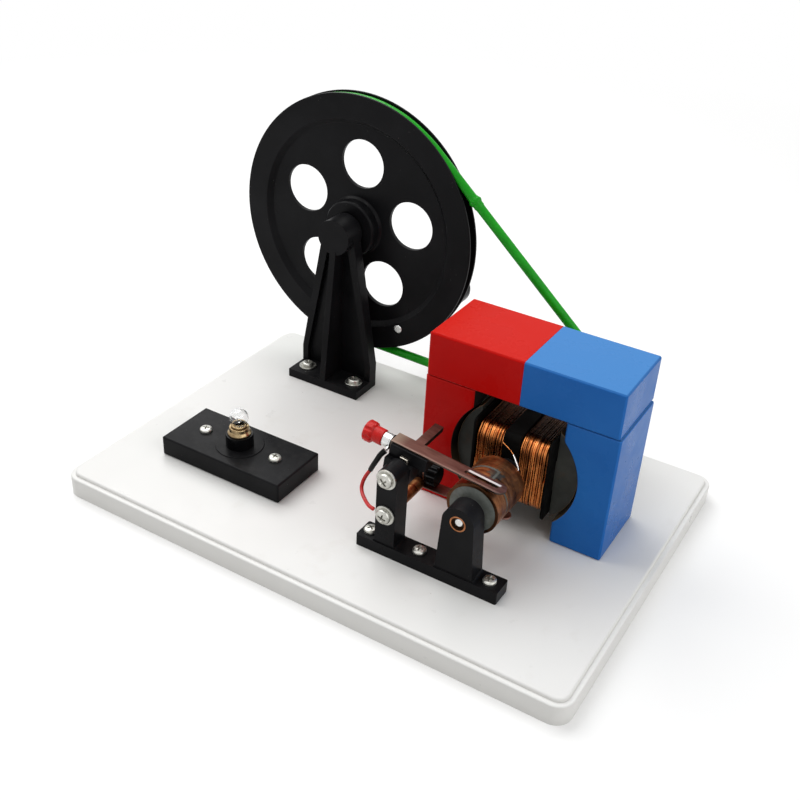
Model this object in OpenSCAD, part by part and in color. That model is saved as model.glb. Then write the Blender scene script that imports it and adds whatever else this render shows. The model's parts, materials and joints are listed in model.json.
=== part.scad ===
// Hand crank generator for a science classroom. A crank wheel drives a round belt, the belt turns a
// wound armature between two magnet poles, and two strip brushes take the current off its barrel.
// Millimetres. The origin is the middle of the base plate's underside, X runs along its long front
// edge, Y away from the viewer and Z up.

/* [Base plate] */
// Length of the base plate
base_l = 335; // [322:1:380]
// Depth of the base plate from front to back
base_w = 230; // [224:1:260]
// Height of the base plate
base_h = 15; // [13:0.5:20]
// Radius of the plate's corners
base_corner_r = 10; // [8:0.5:14]
// Width of the ledge round the raised top
ledge_w = 3; // [2:0.5:4]
// Drop from the raised top to the ledge
ledge_drop = 2.2; // [1.6:0.2:4]
// Thickness of the plate's side walls
base_wall = 5; // [4.5:0.25:6]
// Thickness of the plate's top skin
base_skin = 3; // [2.5:0.25:4]
// Thickness of the ribs under the top skin
rib_t = 1.8; // [1.2:0.1:2.4]
// Widest cell between the ribs
cell_max = 31; // [26:0.5:33]
// Diameter of the screw bosses under the top skin
boss_d = 10; // [9:0.5:12]

/* [Magnets] */
// Place of the magnets and of the armature axis along X
axis_x = 78.5; // [75.5:0.5:81.5]
// Thickness of each pole block along X
pole_w = 31.5; // [28:0.5:34]
// Depth of each pole block along Y
pole_d = 50; // [48:0.5:54]
// Height of each pole block
pole_h = 82; // [80:0.5:90]
// Clear gap between the two pole blocks above and below the bore
pole_gap = 56; // [52:0.5:60]
// Front face of the pole blocks along Y
pole_front_y = -5; // [-6:0.5:-4]
// Length of the magnet bar across both poles
bar_l = 117; // [112:0.5:122]
// Depth of the magnet bar along Y
bar_d = 52; // [48:0.5:56]
// Height of the magnet bar
bar_h = 28; // [22:0.5:34]
// Bevel on the edges of the magnets and poles
magnet_bevel = 1; // [0.5:0.1:1.5]

/* [Armature] */
// Height of the armature axis above the top of the base plate
axis_h = 42; // [41:0.5:44]
// Diameter of the armature core
core_d = 76; // [72:0.5:80]
// Length of the armature core
core_l = 40; // [36:0.5:44]
// Gap between the armature core and the bored poles
air_gap = 1.5; // [1:0.1:2]
// Width of the two winding slots in the core
slot_w = 48; // [46:0.5:50]
// Height of the neck that the windings go round
neck_h = 20; // [16:0.5:22]
// Thickness of the insulating lining on the neck
lining_t = 1.2; // [0.8:0.1:1.5]
// Thickness of the insulating cheek beside each winding
cheek_t = 1.4; // [1:0.1:1.8]
// Width of the insulating hub between the windings
hub_w = 10; // [9.5:0.25:11]
// Turns in the outer layer of each winding
turns = 12; // [8:1:12]
// Diameter of the winding wire
wire_d = 0.85; // [0.6:0.05:0.9]
// Height of a winding above the armature axis
coil_rise = 22.5; // [21:0.25:24]
// How far a winding stands out of the core's end faces
coil_out = 9.5; // [8:0.25:9.5]
// Bend radius at the corners of a winding
coil_bend = 8; // [6:0.5:9]

/* [Commutator barrel] */
// Diameter of the barrel over its copper rings
barrel_d = 31; // [29:0.2:33]
// Length of the barrel
barrel_l = 31.5; // [30:0.5:31.5]
// Thickness of the copper rings
copper_t = 1.8; // [1.2:0.1:2.4]
// Length of the whole ring at the front of the barrel
front_ring_l = 10.5; // [9:0.5:11]
// Length of the whole ring at the back of the barrel
rear_ring_l = 11; // [10:0.5:12]
// Width of the insulation between the two copper rings
split_w = 1.6; // [1.2:0.1:2]
// Angle of the step in the insulation from +X towards +Z
split_angle = 72; // [60:1:84]
// Gap between the barrel and the front bearing post
barrel_gap = 3.5; // [2:0.5:3.5]

/* [Shaft and bearings] */
// Diameter of the armature shaft between its bearings
shaft_d = 8; // [7:0.25:9]
// Diameter of the shaft's bearing journals
journal_d = 5.4; // [5:0.2:6.4]
// Outside diameter of the bearing bushes
bush_d = 9.6; // [9:0.2:10.4]
// Thickness of the bearing posts along Y
post_t = 12.5; // [11:0.5:13]
// Front face of the front bracket's posts along Y
front_post_y = -69.5; // [-70.5:0.5:-69]
// Front face of the rear bearing post along Y
rear_post_y = 68; // [66:0.5:70]
// Half the width of a bearing post at its round top
bearing_r = 9.5; // [8:0.25:10.5]
// Width of a bearing post at its foot
bearing_foot_w = 23; // [20:0.5:26]
// Depth of the brackets' feet along Y
foot_d = 14; // [13.5:0.5:16]
// Height of the brackets' feet
foot_h = 7.5; // [6:0.5:9]
// Left end of the front bracket's foot along X
front_foot_x0 = 16.5; // [15.5:0.5:17.5]
// Right end of the front bracket's foot along X
front_foot_x1 = 105.5; // [103.5:0.5:109.5]
// Length of the rear bracket's foot
rear_foot_l = 56; // [54:0.5:64]
// Radius of the fillets where the posts meet the foot
fillet_r = 2; // [1:0.5:3]

/* [Brush gear] */
// Place of the brush post along X
brush_post_x = 34.5; // [33.5:0.5:35.5]
// Width of the brush post
brush_post_w = 12.5; // [11:0.5:13.5]
// Height of the upper brush screw above the base plate
upper_screw_h = 52.5; // [51:0.5:53]
// Height of the lower brush screw above the base plate
lower_screw_h = 28.5; // [27:0.5:29]
// Diameter of the brush screws
brush_screw_d = 4; // [3:0.25:4.5]
// Length of the brass pillar behind the brush post
pillar_l = 24; // [23:0.5:25]
// Diameter of the brass pillar
pillar_d = 7.5; // [6.5:0.25:7.5]
// Height of the upper brush block above its screw
block_rise = 10.4; // [10:0.1:11]
// Thickness of the brush strips
strip_t = 1; // [0.6:0.1:1.2]
// Width of the upper brush strip
upper_strip_w = 9.2; // [8.6:0.2:9.6]
// Width of the lower brush strip
lower_strip_w = 8; // [7:0.5:9]
// Running gap between a brush strip and the barrel
brush_gap = 0.3; // [0.2:0.05:0.5]
// Diameter of the terminal studs
stud_d = 3.6; // [3:0.2:4]
// Length of the red terminal cap
red_cap_l = 11.6; // [10:0.2:14]
// Diameter of the red terminal cap's fluted head
red_cap_d = 12.6; // [11:0.2:14]
// Length of the black terminal cap
black_cap_l = 7.4; // [6:0.2:8.6]
// Diameter of the black terminal cap
black_cap_d = 13.4; // [11:0.2:13.6]

/* [Drive wheel] */
// Place of the drive wheel's axis along X
wheel_x = -96.5; // [-102.5:0.5:-94.5]
// Height of the drive wheel's axis above the base plate
wheel_axis_h = 109.3; // [105:0.5:115]
// Plane of the belt along Y
belt_y = 97.4; // [96.5:0.1:98.5]
// Radius of the belt's centreline on the drive wheel
wheel_belt_r = 86; // [80:0.5:90]
// Thickness of the drive wheel's rim
wheel_t = 10; // [9:0.5:10.5]
// Thickness of the drive wheel's web
web_t = 3; // [2.5:0.25:4]
// Inner radius of the flat face of the rim
rim_r = 72.5; // [68:0.5:73]
// Width of the sloping step between the rim and the web
rim_slope = 3.5; // [2:0.5:5]
// Number of round holes in the web
hole_count = 5; // [3:1:6]
// Diameter of the round holes in the web
hole_d = 32.4; // [24:0.2:36]
// Radius of the circle that the holes lie on
hole_circle_r = 43.5; // [42:0.5:46]
// Angle of the first hole from +X towards +Z
hole_angle = 13.2; // [0:0.2:72]
// Diameter of the wheel's hub
hub_d = 38; // [32:0.5:40]
// How far the hub stands out in front of the rim
hub_front = 5.4; // [5:0.2:5.6]
// How far the hub stands out behind the rim
hub_back = 2; // [1:0.25:2]
// Diameter of the wheel's axle
axle_d = 8; // [7:0.25:9]
// Outside diameter of the wheel's bush
wheel_bush_d = 12; // [11.5:0.25:14]

/* [Crank] */
// Radius from the wheel's axis to the crank pin
crank_r = 76; // [75.8:0.1:76.6]
// Angle of the crank pin from +X towards +Z
crank_angle = -59.3; // [-75:0.1:-45]
// Diameter of the crank pin
pin_d = 6; // [5:0.25:6]
// Length of the handle grip
grip_l = 75; // [60:1:100]
// Diameter of the grip next to the wheel
grip_root_d = 17; // [15:0.5:20]
// Diameter of the grip at its widest, near its outer end
grip_end_d = 24; // [20:0.5:26]

/* [Wheel post] */
// Length of the wheel post's foot along X
post_foot_l = 57; // [54:0.5:64]
// Depth of the wheel post's foot along Y
post_foot_d = 25; // [23:0.5:26]
// Height of the wheel post's foot
post_foot_h = 6; // [5:0.5:8]
// Front edge of the wheel post's foot along Y
post_foot_y = 57.5; // [56:0.5:58]
// Thickness of the wheel post's back wall and ribs
post_wall = 4.5; // [4:0.25:5]
// Diameter of the boss that holds the axle
post_boss_d = 24; // [22:0.5:28]
// Height above the base plate up to which the post keeps its full width
post_straight_h = 18; // [12:1:30]

/* [Belt and pulley] */
// Diameter of the round belt
belt_d = 6; // [5:0.25:6.2]
// Radius of the belt's centreline on the pulley
pulley_belt_r = 21.5; // [18:0.25:24]
// Running gap between the belt and its grooves
belt_gap = 0.3; // [0.2:0.05:0.4]
// Height of the groove's lips above the belt's centreline
lip_h = 2.5; // [2:0.1:3]
// Diameter of the pulley's hub
pulley_hub_d = 16; // [13:0.5:20]

/* [Lamp holder] */
// Place of the lamp holder along X
lamp_x = -86.5; // [-91.5:0.5:-76.5]
// Place of the lamp holder along Y
lamp_y = -45; // [-60:0.5:-30]
// Length of the lamp block
lamp_l = 90; // [86:0.5:100]
// Depth of the lamp block
lamp_w = 42; // [38:0.5:50]
// Height of the lamp block
lamp_h = 13; // [11:0.5:16]
// Distance between the lamp block's two screws
lamp_screw_pitch = 54; // [48:0.5:64]
// Diameter of the socket's black collar
collar_d = 17.2; // [16:0.2:20]
// Height of the socket's black collar
collar_h = 8.4; // [6:0.2:10]
// Diameter of the bulb's screw cap
cap_d = 9.4; // [9:0.1:9.8]
// Diameter of the bulb's glass globe
globe_d = 11.8; // [11:0.1:13]
// Height of the top of the bulb above the lamp block
bulb_h = 26; // [24:0.5:30]

/* [Lead] */
// Diameter of the red lead
lead_d = 2.2; // [1.8:0.1:2.6]
// Diameter of the black sleeve over the lead's joint
sleeve_d = 3.4; // [3:0.1:4]

/* [Hidden] */
$fn = 48;

// Fits and small clearances
running = 0.05;
snug = 0.05;
loose = 0.2;
gap = 0.3;
seat = 0.02;
over = 1;

// Colours
black_plastic = [0.06, 0.06, 0.065];
white_plastic = [0.93, 0.92, 0.89];
steel = [0.75, 0.76, 0.78];
dark_steel = [0.33, 0.34, 0.33];
copper = [0.75, 0.42, 0.24];
brass = [0.78, 0.62, 0.33];
bronze = [0.70, 0.45, 0.28];
magnet_red = [0.76, 0.07, 0.07];
magnet_blue = [0.20, 0.42, 0.78];
belt_green = [0.05, 0.55, 0.10];
cap_red = [0.90, 0.12, 0.12];
fibre_grey = [0.47, 0.48, 0.45];

// Base plate
rim_round = 1;
top_round = 1.5;
rib_recess = 1;
boss_foot = 2;
pole_boss_foot = 4;
centre_boss_d = 16;

// Screws
foot_screw_d = 4;
foot_head_d = 8;
foot_head_h = 2.6;
foot_screw_l = 17;
big_head_d = 9;
big_head_h = 3;
big_washer_d = 12;
washer_t = 1.2;
recess_w = 1;
screw_tip = 0.6;
end_margin = 5.5;
far_margin = 7.8;
rear_margin = 7;
mid_screw_dx = 19.5;

// Armature axis and everything along it
top_z = base_h;
axis_z = top_z + axis_h;
core_y0 = pole_front_y + (pole_d - core_l) / 2;
core_y1 = core_y0 + core_l;
front_post_back = front_post_y + post_t;
barrel_r = barrel_d / 2;
barrel_y0 = front_post_back + barrel_gap;
barrel_y1 = barrel_y0 + barrel_l;
rear_post_back = rear_post_y + post_t;
front_foot_y = front_post_y + post_t / 2;
rear_foot_y = rear_post_y + post_t / 2;
shaft_recess = 1.2;
shaft_y0 = front_post_y + shaft_recess;
shaft_tip_bevel = 0.6;
bush_sink = 1.4;
bush_lip = 1.1;
pulley_t = 10;
pulley_y0 = belt_y - pulley_t / 2;
pulley_y1 = belt_y + pulley_t / 2;
pulley_hub_y0 = rear_post_back + gap;
shaft_y1 = pulley_y1 + 1.5;

// Windings
hub_half = hub_w / 2;
slot_half = slot_w / 2;
cheek_x1 = slot_half - gap / 2;
cheek_x0 = cheek_x1 - cheek_t;
wire_r = wire_d / 2;
coil_y0 = core_y0 - coil_out;
coil_y1 = core_y1 + coil_out;
coil_x0 = hub_half + wire_d;
coil_x1 = cheek_x0 - wire_d;
turn_pitch = (coil_x1 - coil_x0) / turns;
lining_fit = 0.2;
hub_y0 = coil_y0 - 1;
hub_y1 = coil_y1 + 1;
cheek_rise = coil_rise + 3.5;
hub_rise = coil_rise + 1.5;
pack_gap = 0.15;
rings_per_turn = 24;
wire_sides = 6;
lead_wire_d = 0.8;
lead_rise = 17.6;
lead_seat = 0.4;
rib_drop = 0.2;

// Wheel, axle and crank
wheel_z = top_z + wheel_axis_h;
wheel_y0 = belt_y - wheel_t / 2;
wheel_y1 = belt_y + wheel_t / 2;
wheel_r = wheel_belt_r + lip_h;
hub_face_y = wheel_y0 - hub_front;
hub_back_y = wheel_y1 + hub_back;
groove_r = belt_d / 2 + belt_gap;
axle_washer_t = 1.6;
boss_y1 = hub_face_y - gap - axle_washer_t;
boss_y0 = boss_y1 - 16.6;
axle_y0 = boss_y0 + 4;
back_washer_y0 = hub_back_y + gap;
back_washer_y1 = back_washer_y0 + 1;
axle_thread_d = axle_d - 2;
axle_nut_h = 5;
axle_y1 = back_washer_y1 + axle_nut_h + 1;
pin_x = wheel_x + crank_r * cos(crank_angle);
pin_z = wheel_z + crank_r * sin(crank_angle);
pin_collar_t = 1.8;
pin_collar_d = pin_d + 6;
pin_proud = 0.5;
grip_y0 = wheel_y1 + pin_collar_t + gap;
grip_y1 = grip_y0 + grip_l;
grip_recess = 7;
grip_seat_y = grip_y1 - grip_recess;
pin_y1 = grip_seat_y + gap;
grip_screw_d = 3;

// Wheel post
post_foot_y1 = post_foot_y + post_foot_d;
post_rib_y = post_foot_y1 - 8;
post_rib_top_y = boss_y0;
post_screw_pitch = 39;
post_screw_y = post_foot_y + 10.5;

// Brush gear
upper_screw_z = top_z + upper_screw_h;
lower_screw_z = top_z + lower_screw_h;
block_x0 = brush_post_x - 9;
block_x1 = brush_post_x + 14;
block_y0 = front_post_back + 3;
block_y1 = block_y0 + 11;
block_z1 = upper_screw_z + block_rise;
block_step_z = upper_screw_z + 2.5;
block_z0 = upper_screw_z - 8;
block_base_x0 = brush_post_x - 10;
block_base_x1 = brush_post_x + 7;
block_base_y1 = front_post_back + 11;
strip_y0 = block_y0 + 1.4;
strip_y1 = strip_y0 + upper_strip_w;
strip_tip_x = axis_x + 15;
slot_len = 20.5;
slot_wide = 2.2;
arm_x0 = brush_post_x + 0.5;
arm_x1 = arm_x0 + 5.5;
arm_y1 = core_y0 - 22;
arm_lip = 3.1;
stud_y = (strip_y0 + strip_y1) / 2;
stud_z = block_z1 - 3.5;
stud_washer_t = 1;
stud_washer_d = 9;
collar_ring_d = 8.4;
cap_edge = 0.8;
flute_d = 3;
cap_end_t = 2.5;
red_neck_d = 9.6;
red_head_l = 5.2;
black_rim_l = 1.6;
lug_t = 0.8;
lug_d = 8;
lug_w = 2.4;
lug_reach = 5.7;
lug_tilt = 25;
collar_l = 4.3;
stud_washer_x = block_x0 - strip_t - stud_washer_t;
lug_x = stud_washer_x - lug_t;
collar_x = lug_x - collar_l;
red_cap_x1 = collar_x - gap;
red_cap_x0 = red_cap_x1 - red_cap_l;
lower_block_y0 = front_post_back + pillar_l;
lower_block_y1 = lower_block_y0 + 11;
lower_block_x0 = brush_post_x - 9;
lower_block_x1 = brush_post_x + 1.4;
lower_block_z0 = lower_screw_z - 4.5;
lower_block_z1 = lower_screw_z + 10.5;
lower_strip_y0 = lower_block_y0 + 0.5;
lower_strip_y1 = lower_strip_y0 + lower_strip_w;
lower_strip_z = axis_z - barrel_d / 2 - brush_gap;
lower_tip_x = axis_x + 12.5;
lower_stud_y = (lower_strip_y0 + lower_strip_y1) / 2;
lower_stud_z = lower_screw_z + 5.2;
black_cap_x0 = lower_block_x1 + strip_t + gap;
black_cap_x1 = black_cap_x0 + black_cap_l;

// Lamp holder
lamp_top = top_z + lamp_h;
disc_d = 30;
disc_h = 0.6;
collar_z0 = lamp_top + disc_h;
collar_z1 = collar_z0 + collar_h;
socket_d = 11.6;
socket_z0 = lamp_top - 7;
socket_z1 = collar_z1 + 5;
socket_flange_d = 14.6;
socket_bore_d = cap_d + 2 * running;
bulb_top = lamp_top + bulb_h;
globe_z = bulb_top - globe_d / 2;
cap_z0 = socket_z0 + 2;
cap_z1 = socket_z1 + 1.6;
glass_t = 0.5;

// Route of the red lead, from its sleeve to the washer of the lower brush screw
LEAD_ROUTE = [[14.3, -54, 56], [12.7, -55.4, 52.6], [11.9, -57.2, 49.2], [12.3, -59.2, 46.4],
    [14.5, -61.8, 44.9], [17.9, -64.8, 44.5], [21.7, -68, 44.9], [24.7, -70.2, 45.5], [27.9, -71, 45.5]];
// Route of the black sleeve, from the lug down to the lead
SLEEVE_ROUTE = [[23.5, -53.95, 72.9], [22.6, -54.8, 71.9], [21.1, -55.5, 69.7], [19.4, -55.6, 66.1],
    [17.1, -55.2, 61.6], [14.45, -53.9, 56.35]];
// Routes of the wire ends from the windings to the barrel, about the armature axis in X and Z
front_end = barrel_r + lead_wire_d / 2 + 0.1;
UPPER_END = [[-6.6, coil_y0 - lead_seat, lead_rise], [-5.6, coil_y0 - 2, lead_rise],
    [3, coil_y0 - 5.9, 16], [front_end * cos(50.6), barrel_y1 + 0.8, front_end * sin(50.6)],
    [front_end * cos(45), barrel_y1 - 0.9, front_end * sin(45)]];
LOWER_END = [[6.6, coil_y0 - lead_seat, -lead_rise], [5.6, coil_y0 - 2, -lead_rise + 0.4],
    [-3, coil_y0 - 5, -13], [-5, barrel_y1 + 3, -9], [-5, barrel_y1 + snug, -9]];

// Places of the screws that hold the feet to the base plate
post_places = [for (s = [-1, 1]) [wheel_x + s * post_screw_pitch / 2, post_screw_y]];
front_places = [for (x = [front_foot_x0 + end_margin, brush_post_x + mid_screw_dx,
    front_foot_x1 - far_margin]) [x, front_foot_y]];
rear_places = [for (s = [-1, 1]) [axis_x + s * (rear_foot_l / 2 - rear_margin), rear_foot_y]];
lamp_places = [for (s = [-1, 1]) [lamp_x + s * lamp_screw_pitch / 2, lamp_y]];
pole_places = [for (s = [-1, 1], y = [0.22, 0.78])
    [axis_x + s * (pole_gap + pole_w) / 2, pole_front_y + y * pole_d]];
foot_places = concat(post_places, front_places, rear_places, lamp_places);

// Shapes shared by several sub-parts
function arc(c, r, a0, a1, n = 6) = [for (i = [0:n]) let (a = a0 + (a1 - a0) * i / n)
    [c[0] + r * cos(a), c[1] + r * sin(a)]];

module rod_y(x, z, y0, y1, d) { translate([x, y0, z]) rotate([-90, 0, 0]) cylinder(d = d, h = y1 - y0); }

module rod_x(y, z, x0, x1, d) { translate([x0, y, z]) rotate([0, 90, 0]) cylinder(d = d, h = x1 - x0); }

module rod_z(x, y, z0, z1, d) { translate([x, y, z0]) cylinder(d = d, h = z1 - z0); }

module turned_y(x, z, profile) {
    translate([x, 0, z]) rotate([-90, 0, 0]) rotate_extrude() polygon(profile);
}

// Extrudes a shape drawn in X and Z from y0 to y1
module along_y(y0, y1) { translate([0, y1, 0]) rotate([90, 0, 0]) linear_extrude(y1 - y0) children(); }

// Extrudes a shape drawn in Y and Z from x0 to x1
module along_x(x0, x1) { translate([x0, 0, 0]) rotate([90, 0, 90]) linear_extrude(x1 - x0) children(); }

module box(x0, x1, y0, y1, z0, z1) { translate([x0, y0, z0]) cube([x1 - x0, y1 - y0, z1 - z0]); }

module rect(x0, x1, y0, y1) { translate([x0, y0]) square([x1 - x0, y1 - y0]); }

module rounded_rect(x0, x1, y0, y1, r) {
    rect(x0 + r, x1 - r, y0, y1);
    rect(x0, x1, y0 + r, y1 - r);
    for (x = [x0 + r, x1 - r], y = [y0 + r, y1 - r]) translate([x, y]) circle(r);
}

// A concave fillet drawn in the corner at p, towards sx and sy
module fillet(p, r, sx, sy) {
    translate(p) difference() {
        translate([sx > 0 ? 0 : -r, sy > 0 ? 0 : -r]) square(r);
        translate([sx * r, sy * r]) circle(r);
    }
}

module bevelled_square(l, w, c) {
    polygon([[c, 0], [l - c, 0], [l, c], [l, w - c], [l - c, w], [c, w], [0, w - c], [0, c]]);
}

// A block from the corner p with all its edges bevelled
module bevelled_block(p, s, c) {
    translate(p) intersection() {
        linear_extrude(s[2]) bevelled_square(s[0], s[1], c);
        translate([0, s[1], 0]) rotate([90, 0, 0]) linear_extrude(s[1]) bevelled_square(s[0], s[2], c);
        rotate([90, 0, 90]) linear_extrude(s[0]) bevelled_square(s[1], s[2], c);
    }
}

// A pan head screw whose head sits on z = 0, with a cross recess
module pan_screw(d, l, head_d, head_h) {
    round_r = 0.6 * head_h;
    difference() {
        rotate_extrude() polygon(concat([[0, -l], [d / 2 - screw_tip, -l], [d / 2, screw_tip - l],
            [d / 2, 0], [head_d / 2, 0]],
            arc([head_d / 2 - round_r, head_h - round_r], round_r, 0, 90, 5), [[0, head_h]]));
        for (a = [0, 90]) rotate(a) translate([-head_d / 4, -recess_w / 2, head_h * 0.55])
            cube([head_d / 2, recess_w, head_h]);
    }
}

module washer(d, hole, t) {
    difference() {
        cylinder(d = d, h = t);
        translate([0, 0, -over]) cylinder(d = hole, h = t + 2 * over);
    }
}

// Sweep of a round wire along a list of points
function unit(v) = v / norm(v);
function heading(p, i) = i == 0 ? unit(p[1] - p[0])
    : i >= len(p) - 1 ? unit(p[len(p) - 1] - p[len(p) - 2])
    : unit(unit(p[i + 1] - p[i]) + unit(p[i] - p[i - 1]));
function squared(n, t) = unit(n - (n * t) * t);
function normals(p, n0) = [for (i = 0, n = squared(n0, heading(p, 0)); i < len(p);
    i = i + 1, n = squared(n, heading(p, i))) n];

module wire(p, d, sides, n0) {
    n = normals(p, n0);
    last = len(p) - 1;
    points = [for (i = [0:last]) let (u = n[i], v = cross(heading(p, i), n[i]))
        for (k = [0:sides - 1]) p[i] + d / 2 * (cos(360 * k / sides) * u + sin(360 * k / sides) * v)];
    skin = [for (i = [0:last - 1], k = [0:sides - 1])
        let (a = i * sides + k, b = i * sides + (k + 1) % sides)
        each [[a, a + sides, b + sides], [a, b + sides, b]]];
    caps = [[for (k = [0:sides - 1]) k], [for (k = [sides - 1:-1:0]) last * sides + k]];
    polyhedron(points, concat(skin, caps));
}

// Base plate
module plate_edge() {
    ledge_z = base_h - ledge_drop;
    r = base_corner_r;
    polygon(concat([[0, 0], [r, 0]], arc([r - rim_round, ledge_z - rim_round], rim_round, 0, 90, 4),
        [[r - ledge_w, ledge_z]], arc([r - ledge_w - top_round, base_h - top_round], top_round, 0, 90, 4),
        [[0, base_h]]));
}

module plate_body() {
    l = base_l - 2 * base_corner_r;
    w = base_w - 2 * base_corner_r;
    box(-l / 2, l / 2, -w / 2, w / 2, 0, base_h);
    for (q = [0:3]) rotate(90 * q) {
        out = q % 2 == 0 ? [l, w] : [w, l];
        translate([out[0] / 2, out[1] / 2, 0]) rotate_extrude(angle = 90) plate_edge();
        translate([out[0] / 2, out[1] / 2, 0]) rotate([90, 0, 0]) linear_extrude(out[1]) plate_edge();
    }
}

module plate_cells() {
    l = base_l - 2 * base_wall;
    w = base_w - 2 * base_wall;
    nx = ceil((l + rib_t) / (cell_max + rib_t));
    ny = ceil((w + rib_t) / (cell_max + rib_t));
    px = (l + rib_t) / nx;
    py = (w + rib_t) / ny;
    intersection() {
        translate([0, 0, -over]) linear_extrude(base_h - base_skin + over)
            rounded_rect(-l / 2, l / 2, -w / 2, w / 2, base_corner_r - base_wall);
        union() {
            box(-l, l, -w, w, -over, rib_recess);
            for (i = [0:nx - 1], j = [0:ny - 1]) translate([i * px - l / 2, j * py - w / 2, 0])
                cube([px - rib_t, py - rib_t, base_h]);
        }
    }
}

module base_plate() color(white_plastic) difference() {
    plate_body();
    difference() {
        plate_cells();
        for (p = foot_places) rod_z(p[0], p[1], boss_foot, base_h, boss_d);
        for (p = pole_places) rod_z(p[0], p[1], pole_boss_foot, base_h, boss_d);
        rod_z(0, 0, 0, base_h, centre_boss_d);
    }
    for (p = concat(foot_places, pole_places))
        rod_z(p[0], p[1], -over, base_h + over, foot_screw_d + 2 * snug);
    for (p = pole_places) rod_z(p[0], p[1], -over, pole_boss_foot, boss_d + 1);
}

// Wheel post
module post_outline() {
    w = post_foot_l / 2;
    r = post_boss_d / 2;
    polygon([[-w, top_z], [w, top_z], [w, top_z + post_straight_h], [r, wheel_z], [-r, wheel_z],
        [-w, top_z + post_straight_h]]);
    translate([0, wheel_z]) circle(r);
}

module post_core() {
    w = post_foot_l / 2 - post_wall;
    r = post_boss_d / 2 - post_wall;
    z0 = top_z + post_foot_h;
    polygon([[-w, z0], [w, z0], [w, top_z + post_straight_h], [r, wheel_z - post_boss_d / 3],
        [-r, wheel_z - post_boss_d / 3], [-w, top_z + post_straight_h]]);
}

module wheel_post() color(black_plastic) difference() {
    z0 = top_z + post_foot_h;
    union() {
        translate([wheel_x, 0, 0]) along_y(post_foot_y1 - post_wall, post_foot_y1) post_outline();
        translate([wheel_x, 0, 0]) along_y(post_rib_y, post_foot_y1) difference() {
            post_outline();
            post_core();
        }
        box(wheel_x - post_foot_l / 2, wheel_x + post_foot_l / 2, post_foot_y, post_foot_y1, top_z, z0);
        along_x(wheel_x - post_wall / 2, wheel_x + post_wall / 2) polygon([[post_foot_y, top_z],
            [post_foot_y, z0], [boss_y0, wheel_z - post_boss_d / 3], [post_foot_y1, wheel_z],
            [post_foot_y1, top_z]]);
        rod_y(wheel_x, wheel_z, boss_y0, boss_y1, post_boss_d);
    }
    rod_y(wheel_x, wheel_z, axle_y0, boss_y1 + over, axle_d + 2 * snug);
    for (p = post_places) rod_z(p[0], p[1], top_z - over, z0 + over, foot_screw_d + 2 * loose);
}

module wheel_post_screws() color(steel) for (p = post_places) {
    translate([p[0], p[1], top_z + post_foot_h]) washer(big_washer_d, foot_screw_d + 2 * loose, washer_t);
    translate([p[0], p[1], top_z + post_foot_h + washer_t + seat])
        pan_screw(foot_screw_d, foot_screw_l, foot_head_d, foot_head_h);
}

// Axle, wheel and crank
module wheel_axle() color(steel) {
    turned_y(wheel_x, wheel_z, [[0, axle_y0], [axle_d / 2, axle_y0], [axle_d / 2, back_washer_y1],
        [axle_thread_d / 2, back_washer_y1], [axle_thread_d / 2, axle_y1 - screw_tip],
        [axle_thread_d / 2 - screw_tip, axle_y1], [0, axle_y1]]);
}

module axle_washers() color(steel) {
    for (w = [[boss_y1, axle_washer_t], [back_washer_y0, back_washer_y1 - back_washer_y0]])
        translate([wheel_x, w[0], wheel_z]) rotate([-90, 0, 0])
            washer(axle_d * 2, axle_d + 2 * running, w[1]);
}

module axle_nut() color(steel) difference() {
    translate([wheel_x, back_washer_y1, wheel_z]) rotate([-90, 0, 0])
        cylinder(d = axle_thread_d * 1.9, h = axle_nut_h, $fn = 6);
    rod_y(wheel_x, wheel_z, back_washer_y1 - over, axle_y1 + over, axle_thread_d + 2 * snug);
}

// Half of a pulley's section: r against y, with a half round belt groove
function groove(r) = concat([[r + lip_h, belt_y - groove_r], [r, belt_y - groove_r]],
    [for (p = arc([0, 0], groove_r, 180, 360, 12)) [r + p[1], belt_y + p[0]]],
    [[r + lip_h, belt_y + groove_r]]);

module drive_wheel() color(black_plastic) difference() {
    r_web = rim_r - rim_slope;
    hub_r = hub_d / 2;
    y_web0 = belt_y - web_t / 2;
    y_web1 = belt_y + web_t / 2;
    turned_y(wheel_x, wheel_z, concat(
        [[wheel_bush_d / 2 + snug, hub_face_y], [hub_r - 1, hub_face_y], [hub_r, hub_face_y + 1],
        [hub_r, y_web0 - 1.5], [hub_r + 1.5, y_web0], [r_web, y_web0], [rim_r, wheel_y0],
        [wheel_r - 0.4, wheel_y0], [wheel_r, wheel_y0 + 0.4]],
        groove(wheel_belt_r),
        [[wheel_r, wheel_y1 - 0.4], [wheel_r - 0.4, wheel_y1], [rim_r, wheel_y1], [r_web, y_web1],
        [hub_r + 1.5, y_web1], [hub_r, y_web1 + 1.5], [hub_r, hub_back_y - 1], [hub_r - 1, hub_back_y],
        [wheel_bush_d / 2 + snug, hub_back_y]]));
    for (k = [0:hole_count - 1]) let (a = hole_angle + 360 * k / hole_count)
        rod_y(wheel_x + hole_circle_r * cos(a), wheel_z + hole_circle_r * sin(a),
            hub_face_y, hub_back_y, hole_d);
    rod_y(pin_x, pin_z, wheel_y0 - over, wheel_y1 + over, pin_d + 2 * snug);
}

module wheel_bush() color(bronze) difference() {
    rod_y(wheel_x, wheel_z, hub_face_y, hub_back_y, wheel_bush_d);
    rod_y(wheel_x, wheel_z, hub_face_y - over, hub_back_y + over, axle_d + 2 * running);
}

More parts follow.
